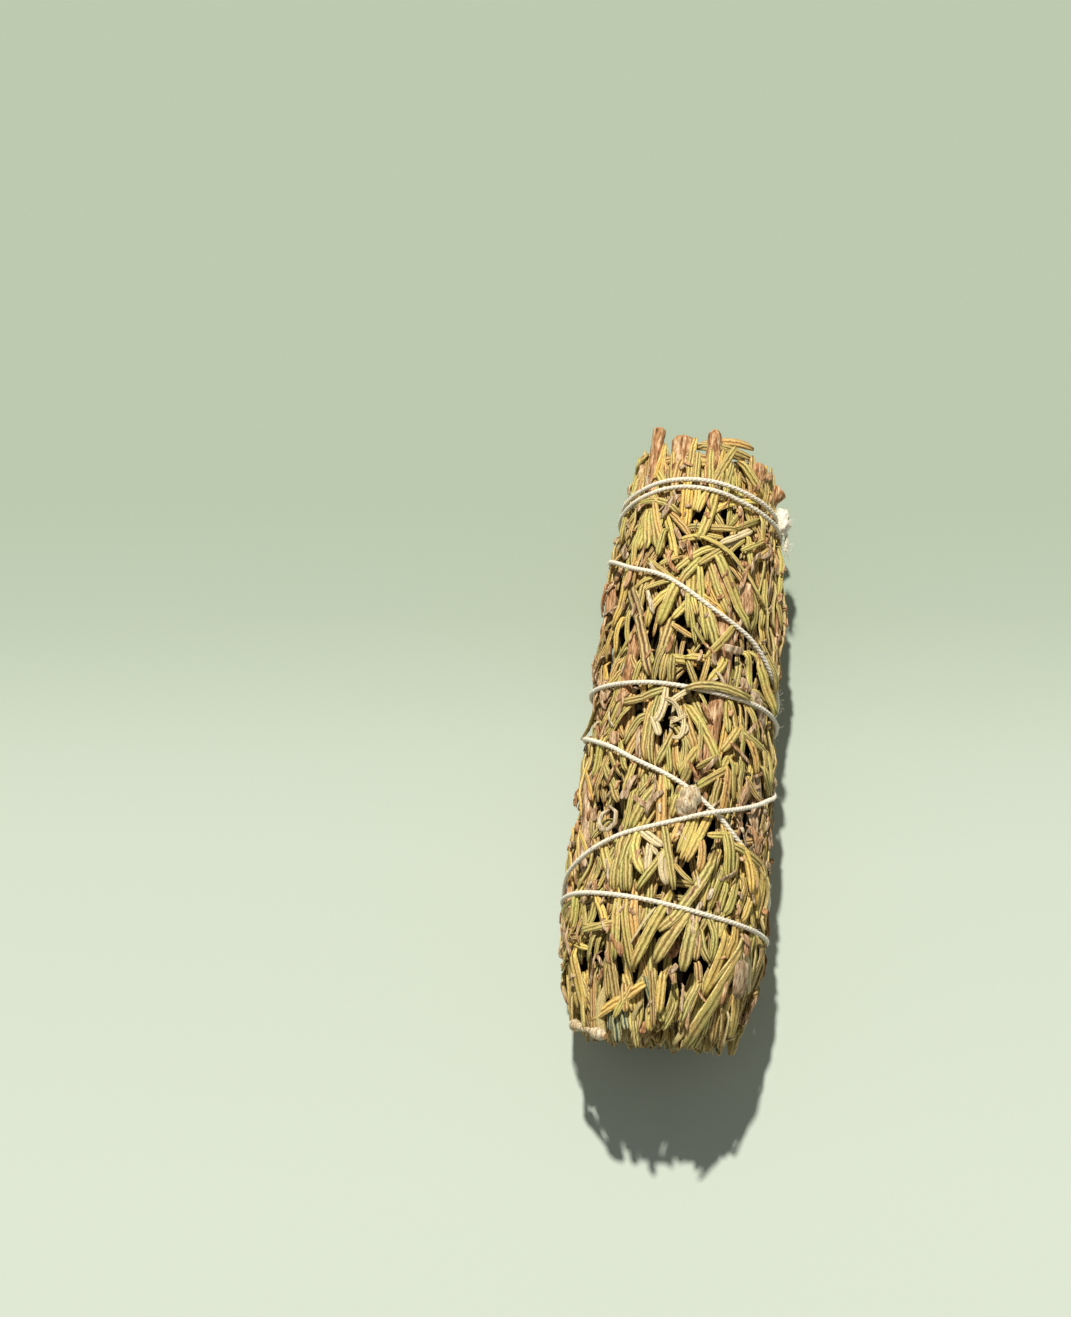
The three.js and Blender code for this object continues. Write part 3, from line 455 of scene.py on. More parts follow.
def border(i, y):
    """The angle of the border before outer sprig i."""
    own = i % OUTER_SPRIGS
    wave = BORDER_WAVE * math.sin(y / (8 + own % 3) + own * 2.1)
    return 2 * math.pi * i / OUTER_SPRIGS - math.pi + BORDER_TWIST * (y - 50) / 100 + wave


def inner_turn(i):
    """The angle at which inner sprig i lies."""
    return 2 * math.pi * i / INNER_SPRIGS + 0.3


def sprig_at(angle, y):
    """The outer sprig that a place on the surface belongs to."""
    for i in range(OUTER_SPRIGS):
        low, high = border(i, y), border(i + 1, y)
        if (angle - low) % (2 * math.pi) < high - low:
            return i
    return OUTER_SPRIGS - 1


# Meshes.


def new_object(name, mesh):
    """An object in the scene for a mesh or a curve."""
    piece = bpy.data.objects.new(name, mesh)
    bpy.context.collection.objects.link(piece)
    return piece


def select_only(objects):
    bpy.ops.object.select_all(action="DESELECT")
    for piece in objects:
        piece.select_set(True)
    bpy.context.view_layer.objects.active = objects[0]


def joined(objects, name):
    """Objects joined as one, under a name."""
    select_only(objects)
    if len(objects) > 1:
        bpy.ops.object.join()
    whole = bpy.context.view_layer.objects.active
    whole.name = name
    whole.data.name = name
    return whole


def unit_rod(sides, cuts, name):
    """A closed rod of length 1 along Y and 1 across, in rings, to be shaped and bent along a line."""
    bpy.ops.object.select_all(action="DESELECT")
    bpy.ops.mesh.primitive_cylinder_add(vertices=sides, radius=0.5, depth=1, rotation=(math.pi / 2, 0, 0))
    bpy.ops.object.transform_apply(location=True, rotation=True, scale=True)
    rod = bpy.context.object
    rod.name = name
    bpy.ops.object.mode_set(mode="EDIT")
    bm = bmesh.from_edit_mesh(rod.data)
    for edge in bm.edges:
        start, end = (v.co.y for v in edge.verts)
        edge.select_set(abs(start - end) > 0.5)
    bmesh.update_edit_mesh(rod.data)
    bpy.ops.mesh.subdivide(number_cuts=cuts)
    bpy.ops.object.mode_set(mode="OBJECT")
    bpy.ops.object.shade_smooth()
    return rod


def select_ring(rod, test):
    """In edit mode, selects the vertices that pass a test on their place."""
    bm = bmesh.from_edit_mesh(rod.data)
    bpy.ops.mesh.select_all(action="DESELECT")
    for vertex in bm.verts:
        vertex.select_set(test(vertex.co))
    bm.select_flush_mode()
    bmesh.update_edit_mesh(rod.data)


def model_needle():
    """A rosemary needle: two rounded lobes beside a groove, narrow at its root and blunt at its tip."""
    needle = unit_rod(10, 6, "needle")
    bpy.ops.object.mode_set(mode="EDIT")
    select_ring(needle, lambda co: co.z > 0.45)
    bpy.ops.transform.translate(value=(0, 0, -0.22))
    select_ring(needle, lambda co: 0.35 < co.z < 0.45)
    bpy.ops.transform.resize(value=(0.84, 1, 1.12), center_override=(0, 0, 0))
    select_ring(needle, lambda co: 0.1 < co.z < 0.2)
    bpy.ops.transform.translate(value=(0, 0, 0.07))
    for along, width in ((-0.5, 0.42), (-0.357, 0.8), (0.214, 1.03), (0.357, 0.93), (0.5, 0.42)):
        select_ring(needle, lambda co, along=along: abs(co.y - along) < 0.01)
        bpy.ops.transform.resize(value=(width, 1, (1 + width) / 2), center_override=(0, along, 0))
    bpy.ops.object.mode_set(mode="OBJECT")
    tag_surface(needle)
    return needle


def tag_surface(rod):
    """Keeps each vertex's place on the rod: across it, along it, and whether it is underneath."""
    spots = read_vertices(rod.data)
    tag = rod.data.attributes.new("rod_place", "FLOAT_VECTOR", "POINT")
    under = (spots[:, 2] < -0.05).astype(float)
    values = np.stack([spots[:, 0] * 2, spots[:, 1] + 0.5, under], -1)
    tag.data.foreach_set("vector", values.ravel())
    rod.data.attributes.new("kind", "FLOAT_VECTOR", "POINT")


def read_vertices(mesh):
    """The places of a mesh's vertices, one a row."""
    spots = np.empty(len(mesh.vertices) * 3)
    mesh.vertices.foreach_get("co", spots)
    return spots.reshape(-1, 3)


def bent_copy(master, line, out, width, height, kind, slot=NEEDLE_SLOT):
    """A copy of a unit rod bent along a line of points, its top turned to out, in millimetres."""
    mesh = master.data.copy()
    spots = read_vertices(master.data)
    steps = np.linspace(0, 1, len(line))
    along = spots[:, 1] + 0.5
    tangents = np.gradient(line, axis=0)
    tangents /= np.linalg.norm(tangents, axis=1, keepdims=True)
    sides = np.cross(tangents, out)
    sides /= np.linalg.norm(sides, axis=1, keepdims=True)
    ups = np.cross(sides, tangents)

    def at(values):
        return np.stack([np.interp(along, steps, column) for column in np.asarray(values).T], -1)

    across = spots[:, :1] * (width if np.isscalar(width) else np.interp(along, steps, width)[:, None])
    above = spots[:, 2:] * (height if np.isscalar(height) else np.interp(along, steps, height)[:, None])
    shape = at(line) + at(sides) * across + at(ups) * above
    shape[:, 2] = np.maximum(shape[:, 2], 0.0)
    mesh.vertices.foreach_set("co", (shape * MM).ravel())
    mesh.attributes["kind"].data.foreach_set("vector", np.tile(kind, len(mesh.vertices)))
    mesh.polygons.foreach_set("material_index", np.full(len(mesh.polygons), slot, dtype=np.int32))
    mesh.update()
    return new_object(master.name, mesh)


# The bed of needles.


class Needle:
    """One needle on the surface: its run over it from root to tip, and its sizes, in millimetres."""

    def __init__(self, angle, y, random, sizes, width=1.0):
        self.angle, self.y = angle, y
        across = np.gradient(angle) * (girth(y) - 1)
        steps = np.hypot(across, np.gradient(y))
        self.length = steps[:-1].sum()
        self.heading = np.arctan2(across, -np.gradient(y))
        self.width = sizes.needle_width / MM * random.uniform(0.86, 1.14) * width
        self.height = sizes.needle_height / MM * random.uniform(0.85, 1.15) * min(width, 1.2)
        self.own_roll = random.normal(0, 0.24)
        self.roll = self.own_roll
        self.beam = np.zeros(len(STATIONS))
        self.kind = (0.5, random.random(), 0.0)
        self.slot = NEEDLE_SLOT
        self.over_string = False

    def footprint(self, count, shares):
        """Angles and places along the bundle of a grid of points that the needle covers."""
        steps = np.linspace(0, 1, count)
        columns = self.angle, self.y, self.heading
        angle, y, heading = (np.interp(steps, STATIONS, column)[:, None] for column in columns)
        shares = np.array(shares)[None] * self.width
        return angle + shares * np.cos(heading) / girth(y), y + shares * np.sin(heading)

    def centres(self):
        """Points of its middle and the way its top faces."""
        radius = free_radius(self.angle, self.y) - BED_SINK - BED_DEPTH + self.beam + self.height / 2
        if self.over_string:
            fall = 0.8 * np.maximum(string_gap(self.angle, self.y) - 0.6, 0)
            radius = np.maximum(radius, girth(self.y) + self.height * 0.4 - fall)
        else:
            radius = under_string(self.angle, self.y, radius, self.height * 0.35)
        points = place(self.angle, self.y, radius)
        out = outward(self.angle)
        tangent = np.gradient(points, axis=0)
        tangent /= np.linalg.norm(tangent, axis=1, keepdims=True)
        side = np.cross(tangent, out)
        return points, out * math.cos(self.roll) + side * math.sin(self.roll)


def straying_run(angle, y, heading, bend, length):
    """A needle's run from its root, its heading measured from the way to the leafy end."""
    headings = heading + bend * (STATIONS - 0.3)
    step = length / (len(STATIONS) - 1)
    along = np.concatenate([[0], np.cumsum(np.cos(headings[:-1]))]) * step
    across = np.concatenate([[0], np.cumsum(np.sin(headings[:-1]))]) * step
    ys = y - along
    return angle + across / (girth(ys) - 1), ys


def drawn_run(spots, tucked):
    """A needle's run through three points, its root drawn out by the length that is tucked in."""
    angles, ys = np.radians(spots[:, 0]), spots[:, 1]
    length = np.hypot(np.diff(angles) * girth(ys[1]), np.diff(ys)).sum()
    t = np.linspace(-tucked / length, 1, len(STATIONS))
    shares = [(1 - t) * (1 - 2 * t), 4 * t * (1 - t), t * (2 * t - 1)]
    return sum(a * s for a, s in zip(angles, shares)), sum(a * s for a, s in zip(ys, shares))


def shade_at(random, y):
    """How light a needle is, from 0 to 1: lighter towards the stems, painted darker as shade at the leafy
    end.
    """
    return float(np.clip(random.random() + np.interp(y, *zip(*SHADE_ALONG)), 0, 1))


class NeedleBed:
    """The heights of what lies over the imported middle, on a grid unrolled from the bundle's surface."""

    def __init__(self):
        self.around = int(2 * math.pi * 16 / BED_CELL)
        self.along = int((BED_TO - BED_FROM) / BED_CELL) + 1
        self.heights = np.zeros((self.around, self.along))
        along = BED_FROM + np.arange(self.along) * BED_CELL
        # The leafy end is looser, with deep dark gaps.
        self.caps = np.tile(np.interp(along, [-48, -43], [1.7, BED_DEPTH]), (self.around, 1))

    def cells(self, angle, y):
        i = np.round(angle / (2 * math.pi) * self.around).astype(int) % self.around
        j = np.clip(np.round((y - BED_FROM) / BED_CELL).astype(int), 0, self.along - 1)
        return i, j

    def rest(self, needle, lying_on_top=False):
        """Finds how a needle rests on what is there; False where there is no room for it."""
        cells = self.cells(*needle.footprint(len(STATIONS), (-0.38, 0, 0.38)))
        under = self.heights[cells]
        apart = np.abs(STATIONS[:, None] - STATIONS[None]) * needle.length
        beam = (under.max(1)[None] - NEEDLE_STIFFNESS * apart).max(1)
        top = beam + needle.height * 0.8
        if lying_on_top:
            beam -= np.maximum(top - BED_DEPTH - 0.5, 0)
        elif (top > self.caps[cells].min(1)).any():
            return False
        beam -= NEEDLE_TUCK * np.clip(1 - STATIONS / 0.22, 0, 1) ** 2
        lean = (under[:, 2] - under[:, 0]).mean() / (needle.width * 0.76)
        needle.roll = float(np.clip(math.atan(lean), -0.35, 0.35)) + needle.own_roll
        needle.beam = np.maximum(beam, 0.0)
        return True

    def open_gap(self, angle, y, radius):
        """Keeps the needles that fill the bed low round a place, so that it stays a dark gap."""
        around = np.arange(self.around) * 2 * math.pi / self.around
        apart = (around - math.radians(angle) + math.pi) % (2 * math.pi) - math.pi
        along = BED_FROM + np.arange(self.along) * BED_CELL - y
        near = np.hypot(apart[:, None] * 16, along[None]) < radius
        self.caps[near] = GAP_HEIGHT

    def cover(self, needle):
        angle, y = needle.footprint(46, (-0.42, -0.2, 0, 0.2, 0.42))
        top = np.interp(np.linspace(0, 1, 46), STATIONS, needle.beam) + needle.height * 0.85
        np.maximum.at(self.heights, self.cells(angle, y), np.repeat(top[:, None], 5, 1))

    def keep_low(self, needle, depth):
        """Leaves room for a needle that will lie on top."""
        cells = self.cells(*needle.footprint(46, (-0.42, -0.2, 0, 0.2, 0.42)))
        self.caps[cells] = np.minimum(self.caps[cells], BED_DEPTH - depth)


def spread_of_heading(y):
    """How far needles stray from the bundle's length: combed at the leafy end, crossed near the stems."""
    return math.radians(np.interp(y, [-50, -25, 0, 25, 45], [13, 15, 19, 31, 24]))


def lay_surface(bed, random, sizes):
    """Lays tufts of needles in layers, from the tip end on, so that each tuft's tips cover roots."""
    laid = []
    for layer, (tufts, tints, strays) in enumerate(SURFACE_TUFTS):
        roots = random.uniform([-math.pi, -45], [math.pi, 53], (tufts, 2))
        order = np.argsort(roots[:, 1] + random.normal(0, 7, tufts))
        for angle, y in roots[order]:
            heading = random.normal(0, spread_of_heading(y))
            if random.random() < strays:
                heading = random.choice([-1, 1]) * random.uniform(0.9, 1.7)
            bend = random.normal(0, 0.16)
            tint = random.uniform(*tints)
            spacing = random.uniform(1.15, 1.5)
            for k in range(random.integers(2, 7)):
                shift = (k - 2) * spacing
                root_y = y + shift * math.sin(heading) + random.normal(0, 1.6)
                root_angle = angle + shift * math.cos(heading) / 15
                lean = heading + random.normal(0, 0.09)
                length = float(np.clip(random.normal(sizes.needle_length / MM, 2.6), 6, 19))
                run = straying_run(root_angle, root_y, lean, bend + random.normal(0, 0.08), length)
                needle = Needle(*run, random, sizes, random.uniform(0.78, 1.05))
                if run[1][-1] < leafy_end(run[0][-1]) + 2.6 * random.random() or root_y > 50:
                    continue
                if not bed.rest(needle):
                    continue
                bed.cover(needle)
                tone = float(np.clip(tint + random.normal(0, 0.13), 0, 1))
                # The lower layers are painted darker: painted shade for needles that lie under others.
                needle.kind = (tone, shade_at(random, root_y) * (0.4 + 0.2 * layer), 0.0)
                laid.append(needle)
    return laid


def shown_needles(random, sizes):
    """The needles and strips of bark of the table, not laid yet."""
    shown = []
    for spots, kind, width in seen_needles():
        tucked = random.uniform(1.0, 3.0) if kind < BARK else 0.3
        needle = Needle(*drawn_run(spots, tucked), random, sizes, abs(width))
        needle.over_string = width < 0
        shade = shade_at(random, spots[1, 1])
        needle.kind = (kind, shade, 0.0) if kind <= 1 else (0.6, shade, float(kind))
        if kind >= BARK:
            needle.kind = (0.15 if kind == RED_BARK else random.uniform(0.3, 1.0), random.random(), 0.0)
            needle.height *= 0.5
            needle.slot = BARK_SLOT
        shown.append(needle)
    return shown


def scraps(bed, random, sizes):
    """Strips of bark and broken bits that lie between the needles."""
    laid = []
    for _ in range(SCRAPS):
        angle, y = random.uniform([-math.pi, -46], [math.pi, 48])
        length = random.choice([random.uniform(0.9, 2.4), random.uniform(2, 6)])
        run = straying_run(angle, y, random.normal(0, 0.5), random.normal(0, 0.7), length)
        bit = Needle(*run, random, sizes, random.uniform(0.25, 0.75))
        bit.height = random.uniform(0.18, 0.4)
        if (bed.caps[bed.cells(bit.angle, bit.y)] <= GAP_HEIGHT).any():
            continue
        bed.rest(bit, lying_on_top=True)
        bit.roll += random.normal(0, 0.3)
        bit.slot = BARK_SLOT
        weathering, shade = random.uniform(0.1, 1.0), random.random()
        bit.kind = (weathering, shade, BLEACHED * float(random.random() < BLEACHED_SCRAPS))
        bed.cover(bit)
        laid.append(bit)
    return laid


def mark_stem(bed, rows, radius):
    """Keeps room on the bed for a woody stem that shows."""
    angle_at = smooth_table([[y, math.radians(angle)] for y, angle in rows])
    y = np.arange(rows[0][0] + 1, rows[-1][0] - 1, 0.25)
    for shift in np.linspace(-radius, radius, 9):
        top = BED_DEPTH - 0.9 + math.sqrt(max(radius**2 - shift**2, 0)) - radius
        cells = bed.cells(angle_at(y) + shift / 15.5, y)
        bed.heights[cells] = np.maximum(bed.heights[cells], top)


def leafy_end(angle):
    """How far the needles reach at the leafy end: less underneath."""
    return -53.2 + 1.6 * (1 - math.cos(angle))


def in_gap(gaps, angle, y):
    """Whether a place on the surface is in one of the dark gaps."""
    for gap_angle, gap_y, radius in gaps:
        apart = (angle - math.radians(gap_angle) + math.pi) % (2 * math.pi) - math.pi
        if math.hypot(apart * 15, y - gap_y) < radius + 0.3:
            return True
    return False


def disc_needles(random, sizes, gaps, count, spread, root_way, tip_ys, tints, greens, slope=0.0):
    """Needles that close an end: whether inner, sprig, line, way of the top, width, height and kind."""
    needles = []
    for k in range(count):
        share = math.sqrt((k + 0.5) / count)
        angle = k * 2.399963 + random.normal(0, 0.08)
        reach = share * (girth(tip_ys[0]) - 2.3)
        end_y = random.uniform(*tip_ys) + slope * (1 - share * math.cos(angle))
        if share > 0.75 and in_gap(gaps, angle, end_y):
            continue
        start_y = end_y + root_way * random.uniform(4.5, 9)
        tilt = random.normal(0, spread, 2)
        steps = np.linspace(0, 1, 8)[:, None]
        end = place(angle, end_y, reach)
        start = place(angle, start_y, reach) + [tilt[0] * 7, 0, tilt[1] * 7]
        middle = np.array([0, start_y, axis_height(start_y)])
        start = middle + (start - middle) * min(1, (girth(start_y) - 1.8) / np.linalg.norm(start - middle))
        line = start + (end - start) * steps
        line[:, 0] += random.normal(0, 0.5) * np.sin(math.pi * steps[:, 0])
        line[:, 2] += random.normal(0, 0.4) * np.sin(math.pi * steps[:, 0])
        roll = random.uniform(0, 2 * math.pi)
        shade = shade_at(random, end_y)
        kind = (random.uniform(*tints), shade, GREEN * float(random.random() < greens))
        width = sizes.needle_width / MM * random.uniform(0.7, 1.1)
        blunt = width * (1 + random.random() * (steps[:, 0] > 0.9))
        height = sizes.needle_height / MM * random.uniform(0.9, 1.2)
        inner = share < 0.5
        inner_sprig = int(angle / (2 * math.pi) * INNER_SPRIGS) % INNER_SPRIGS
        sprig = inner_sprig if inner else sprig_at(angle, end_y)
        needles.append((inner, sprig, line, outward(roll), blunt, height, kind))
    return needles


def rim_needles(random, sizes, gaps, count, spread, root_ys, tip_ys, slope=0.0):
    """Needles round the rim of an end, with their tips free."""
    needles = []
    for k in range(count):
        angle = 2 * math.pi * (k + random.random()) / count
        root_y = random.uniform(*root_ys)
        tip_y = random.uniform(*tip_ys) + slope * (1 - math.cos(angle))
        if in_gap(gaps, angle, tip_y):
            continue
        steps = np.linspace(0, 1, 8)
        depth = random.uniform(0.4, 2.6)
        y = root_y + (tip_y - root_y) * steps
        angles = angle + random.normal(0, spread) * steps
        radius = free_radius(angles, y) - BED_SINK - depth - 0.4 + random.uniform(-0.4, 0.4) * steps
        line = place(angles, y, radius)
        kind = (random.uniform(0.1, 1.0), shade_at(random, root_y), 0.0)
        width = sizes.needle_width / MM * random.uniform(0.7, 1.1)
        top = outward(angle + random.normal(0, 0.3))
        needles.append((False, sprig_at(angle, root_y), line, top, width, sizes.needle_height / MM, kind))
    return needles


# Woody stems and odd bits.


def roughen(piece, grain, depth, seed):
    """Raises bark and knots with a displace modifier, then applies it."""
    texture = bpy.data.textures.new(f"{piece.name}_{seed}", "CLOUDS")
    texture.noise_scale = grain * MM
    texture.noise_depth = 4
    select_only([piece])
    modifier = piece.modifiers.new("bark", "DISPLACE")
    modifier.texture = texture
    modifier.strength = depth * MM
    modifier.mid_level = 0.5
    bpy.ops.object.modifier_apply(modifier=modifier.name)
    bpy.data.textures.remove(texture)


def bent_stem(master, line, out, radii, random, kind):
    """A stem along a line, with bark and knots."""
    steps = np.linspace(0, 1, len(line))
    knots = sum(0.13 * np.exp(-(((steps - at) / 0.05) ** 2)) for at in random.uniform(0.1, 0.95, 3))
    girths = np.asarray(radii) * 2 * (1 + knots)
    piece = bent_copy(master, line, out, girths, girths, kind, BARK_SLOT)
    roughen(piece, 1.0, 0.4, int(random.integers(1e6)))
    select_only([piece])
    bpy.ops.object.shade_smooth_by_angle(angle=math.radians(50))
    return piece


def sprig_stem(master, i, random):
    """The part of an outer sprig's stem that comes out of the cut end."""
    angle, end_y, radius, rounding, lean = STEM_ENDS[i]
    radius *= 0.96
    angle = math.radians(angle)
    y = np.linspace(34, end_y - 0.15, 26)
    inside = (border(i, 41) + border(i + 1, 41)) / 2
    angles = np.interp(y, [34, 46.5, 54], [inside * 0.6 + angle * 0.4, angle, angle])
    depth = np.interp(y, [34, 46, 54], [radius + 2.6, radius + 0.9, radius + 0.9])
    leaning = lean * np.clip((y - 44) / 4, 0, 1) ** 1.5
    line = place(angles, y, free_radius(angles, y) - depth + leaning)
    left = (end_y - 0.15 - y) / (radius * 0.8)
    dome = np.sqrt(np.clip(1 - (1 - np.clip(left, 0, 1)) ** 2, 0.08, 1))
    radii = radius * (1 - rounding + rounding * dome)
    out = outward(np.full(len(y), angle))
    return bent_stem(master, line, out, radii, random, (0.12, random.random(), 1.0))


def shown_stem(master, radius, weathering, rows, random):
    """A woody stem that shows between the needles, its ends sunk in."""
    angle_at = smooth_table([[y, math.radians(angle)] for y, angle in rows])
    y = np.linspace(rows[0][0] - 3, rows[-1][0] + 3, 26)
    angles = angle_at(y)
    ends = np.minimum(y - y[0], y[-1] - y)
    sunk = radius + 0.9 + 2.2 * np.clip(1 - ends / 5, 0, 1) ** 2
    line = place(angles, y, under_string(angles, y, free_radius(angles, y) - sunk, radius))
    kind = (weathering, random.random(), 0.0)
    return bent_stem(master, line, outward(angles), np.full(len(y), radius), random, kind)


def inner_stem(master, i, random):
    """The part of an inner sprig's stem that shows at the cut end."""
    turn = inner_turn(i)
    y = np.linspace(30, 48.2 + 0.6 * i, 14)
    line = place(turn, y, np.full(len(y), INNER_RING_RADIUS))
    out = outward(np.zeros(len(y)))
    return bent_stem(master, line, out, np.full(len(y), 1.15), random, (0.3, random.random(), 1.0))


def lump(master, row, depth, random, tone):
    """A short rough bleached piece that lies on the needles between two places, and its sprig."""
    start_angle, start_y, end_angle, end_y, radii = row
    steps = np.linspace(0, 1, len(radii))
    angle = np.radians(start_angle + (end_angle - start_angle) * steps)
    y = start_y + (end_y - start_y) * steps
    line = place(angle, y, free_radius(angle, y) - depth)
    piece = bent_stem(master, line, outward(angle), radii, random, (*tone, float(BLEACHED)))
    return piece, sprig_at(math.radians(start_angle), start_y)


def ring_needle(needle, random):
    """A bleached needle curled into a ring."""
    angle, y, radius = RING
    turn = np.linspace(0.2, 6.3, 15)
    reach = radius * np.linspace(1.25, 0.95, 15)
    angles = math.radians(angle) + reach * np.sin(turn) / girth(y)
    ys = y + reach * np.cos(turn)
    line = place(angles, ys, free_radius(angles, ys) + np.linspace(0.3, -0.3, 15))
    centre = place(math.radians(angle), y, 0)
    kind = (0.2, random.random(), float(BLEACHED))
    return bent_copy(needle, line, line - centre, 0.8, 0.8, kind, BARK_SLOT)


def packed_middle(master, angles, radii, widths, height, random):
    """The needles pressed together in the middle of a sprig, as one rough mass painted dark as shade."""
    line = place(angles, MIDDLE_Y, radii)
    closed = np.clip(np.minimum(MIDDLE_Y - MIDDLE_Y[0], MIDDLE_Y[-1] - MIDDLE_Y) / 3, 0.45, 1)
    kind = (0.0, random.random(), 0.0)
    piece = bent_copy(master, line, outward(angles), widths * closed, height * closed, kind, MIDDLE_SLOT)
    roughen(piece, 1.6, 1.0, int(random.integers(1e6)))
    return piece


# Materials.


def linear(value):
    """An sRGB hex colour as linear RGBA."""
    channels = [int(value[i : i + 2], 16) / 255 for i in (1, 3, 5)]
    return [c / 12.92 if c <= 0.04045 else ((c + 0.055) / 1.055) ** 2.4 for c in channels] + [1.0]


def lumps(size):
    """The scale at which a noise's lumps are a size in millimetres."""
    return 1 / (size * MM)


def add_node(tree, kind, inputs=None, stops=(), **settings):
    """Adds a node with its settings, inputs, links and colour stops, and gives its outputs."""
    node = tree.nodes.new(f"ShaderNode{kind}")
    for name, value in settings.items():
        setattr(node, name, value)
    for key, value in (inputs or {}).items():
        if isinstance(value, bpy.types.NodeSocket):
            tree.links.new(value, node.inputs[key])
        else:
            node.inputs[key].default_value = value
    if stops:
        elements = node.color_ramp.elements
        elements.remove(elements[-1])
        elements[0].position = stops[0][0]
        for position, _ in stops[1:]:
            elements.new(position)
        for element, (_, value) in zip(elements, stops):
            element.color = linear(value) if isinstance(value, str) else (value, value, value, 1)
    return node.outputs


# Settings of the node that mixes or multiplies two colours: its inputs are 0, 6 and 7, its output is 2.
MIX = {"data_type": "RGBA"}
MULTIPLY = {"data_type": "RGBA", "blend_type": "MULTIPLY"}


def new_material(name, roughness, specular):
    """A material, its shader's inputs, and the way to add and to link its nodes."""
    material = bpy.data.materials.new(name)
    material.use_nodes = True
    tree = material.node_tree
    shader = tree.nodes["Principled BSDF"].inputs
    shader["Roughness"].default_value = roughness
    shader["Specular IOR Level"].default_value = specular
    return material, shader, partial(add_node, tree), tree.links.new


def needle_material():
    """Air-dried rosemary needles: dull, wrinkled, olive to straw, pale rolled margins; painted highlight,
    groove shade.
    """
    material, shader, add, link = new_material("dried_rosemary_needle", 0.6, 0.35)
    spot = add("TexCoord")["Object"]
    kind = add("Attribute", attribute_name="kind")["Vector"]
    tint, shade, sort = add("SeparateXYZ", {0: kind}).values()
    rod_place = add("Attribute", attribute_name="rod_place")["Vector"]
    across, along, underneath = add("SeparateXYZ", {0: rod_place}).values()
    # From brown and tan through olive to yellow, as needles dry at different speeds.
    colour = add("ValToRGB", {0: tint}, [
        (0.0, "#6C4A2C"), (0.14, "#A4713A"), (0.3, "#C28E48"), (0.44, "#A48C40"), (0.6, "#A39B42"),
        (0.76, "#BDAE54"), (0.9, "#D2AC48"), (1.0, "#E6AE30"),
    ])[0]
    # Blotches a few millimetres long, where a needle dried browner.
    blotches = add("TexNoise", {"Vector": spot, "Scale": lumps(3.2), "Detail": 2, "Roughness": 0.6})[0]
    browner = add("ValToRGB", {0: blotches}, [(0.42, 0.0), (0.68, 0.7)])[0]
    colour = add("Mix", {0: browner, 6: colour, 7: linear("#BC8648")}, **MIX)[2]
    # Each needle is a little lighter or darker than the next; this value also carries painted shade,
    # darker for the lower layers and towards the leafy end.
    value = add("ValToRGB", {0: shade}, [(0.0, 0.62), (0.5, 1.0), (1.0, 1.3)])[0]
    colour = add("Mix", {0: 1.0, 6: colour, 7: value}, **MULTIPLY)[2]
    for number, paint in ((BLEACHED, "#D3BE9A"), (GREEN, "#4E6154")):
        is_kind = add("Math", {0: sort, 1: number, 2: 0.5}, operation="COMPARE")[0]
        colour = add("Mix", {0: is_kind, 6: colour, 7: linear(paint)}, **MIX)[2]
    # The groove and the margins waver a little.
    sway = add("TexNoise", {"Vector": spot, "Scale": lumps(1.1), "Detail": 2, "Roughness": 0.6})[0]
    waver = add("MapRange", {"Value": sway, "To Min": -0.24, "To Max": 0.24})[0]
    across = add("Math", {0: across, 1: waver})[0]
    across = add("Math", {0: across}, operation="ABSOLUTE")[0]
    # Painted highlight along the lobes' crests; the pale at the margins is their own rolled, felted edge.
    crest_highlight_and_margin = add("ValToRGB", {0: across}, [
        (0.14, 0.0), (0.4, 0.58), (0.62, 0.25), (0.84, 0.0), (0.97, 0.75)])[0]
    colour = add("Mix", {0: crest_highlight_and_margin, 6: colour, 7: linear("#FBE89C")}, **MIX)[2]
    # Painted shade in the groove and in the crease between lobe and margin, stronger in some patches.
    groove = add("ValToRGB", {0: across}, [
        (0.0, 0.26), (0.08, 0.4), (0.2, 1.0), (0.66, 1.0), (0.82, 0.6), (0.93, 1.0)])[0]
    patches = add("TexNoise", {"Vector": spot, "Scale": lumps(2.6), "Detail": 1, "Roughness": 0.6})[0]
    depth = add("ValToRGB", {0: patches}, [(0.38, 0.2), (0.62, 1.0)])[0]
    groove_shaded = add("Mix", {0: 1.0, 6: colour, 7: groove}, **MULTIPLY)[2]
    colour = add("Mix", {0: depth, 6: colour, 7: groove_shaded}, **MIX)[2]
    # The underside is felted and pale.
    colour = add("Mix", {0: underneath, 6: colour, 7: linear("#C2AE74")}, **MIX)[2]
    tips = add("ValToRGB", {0: along}, [(0.0, 0.55), (0.07, 0.0), (0.95, 0.0), (1.0, 0.4)])[0]
    colour = add("Mix", {0: tips, 6: colour, 7: linear("#8B6637")}, **MIX)[2]
    # Fine wrinkles and dust, about 0.3 mm apart.
    speckle = add("TexNoise", {"Vector": spot, "Scale": lumps(0.3), "Detail": 4, "Roughness": 0.7})[0]
    dust = add("ValToRGB", {0: speckle}, [(0.3, 0.6), (0.5, 1.0), (0.7, 1.3)])[0]
    colour = add("Mix", {0: 1.0, 6: colour, 7: dust}, **MULTIPLY)[2]
    link(colour, shader["Base Color"])
    relief = add("Mix", {0: 0.45, 6: groove, 7: speckle}, **MIX)[2]
    link(add("Bump", {"Strength": 0.8, "Distance": 0.2 * MM, "Height": relief})[0], shader["Normal"])
    return material


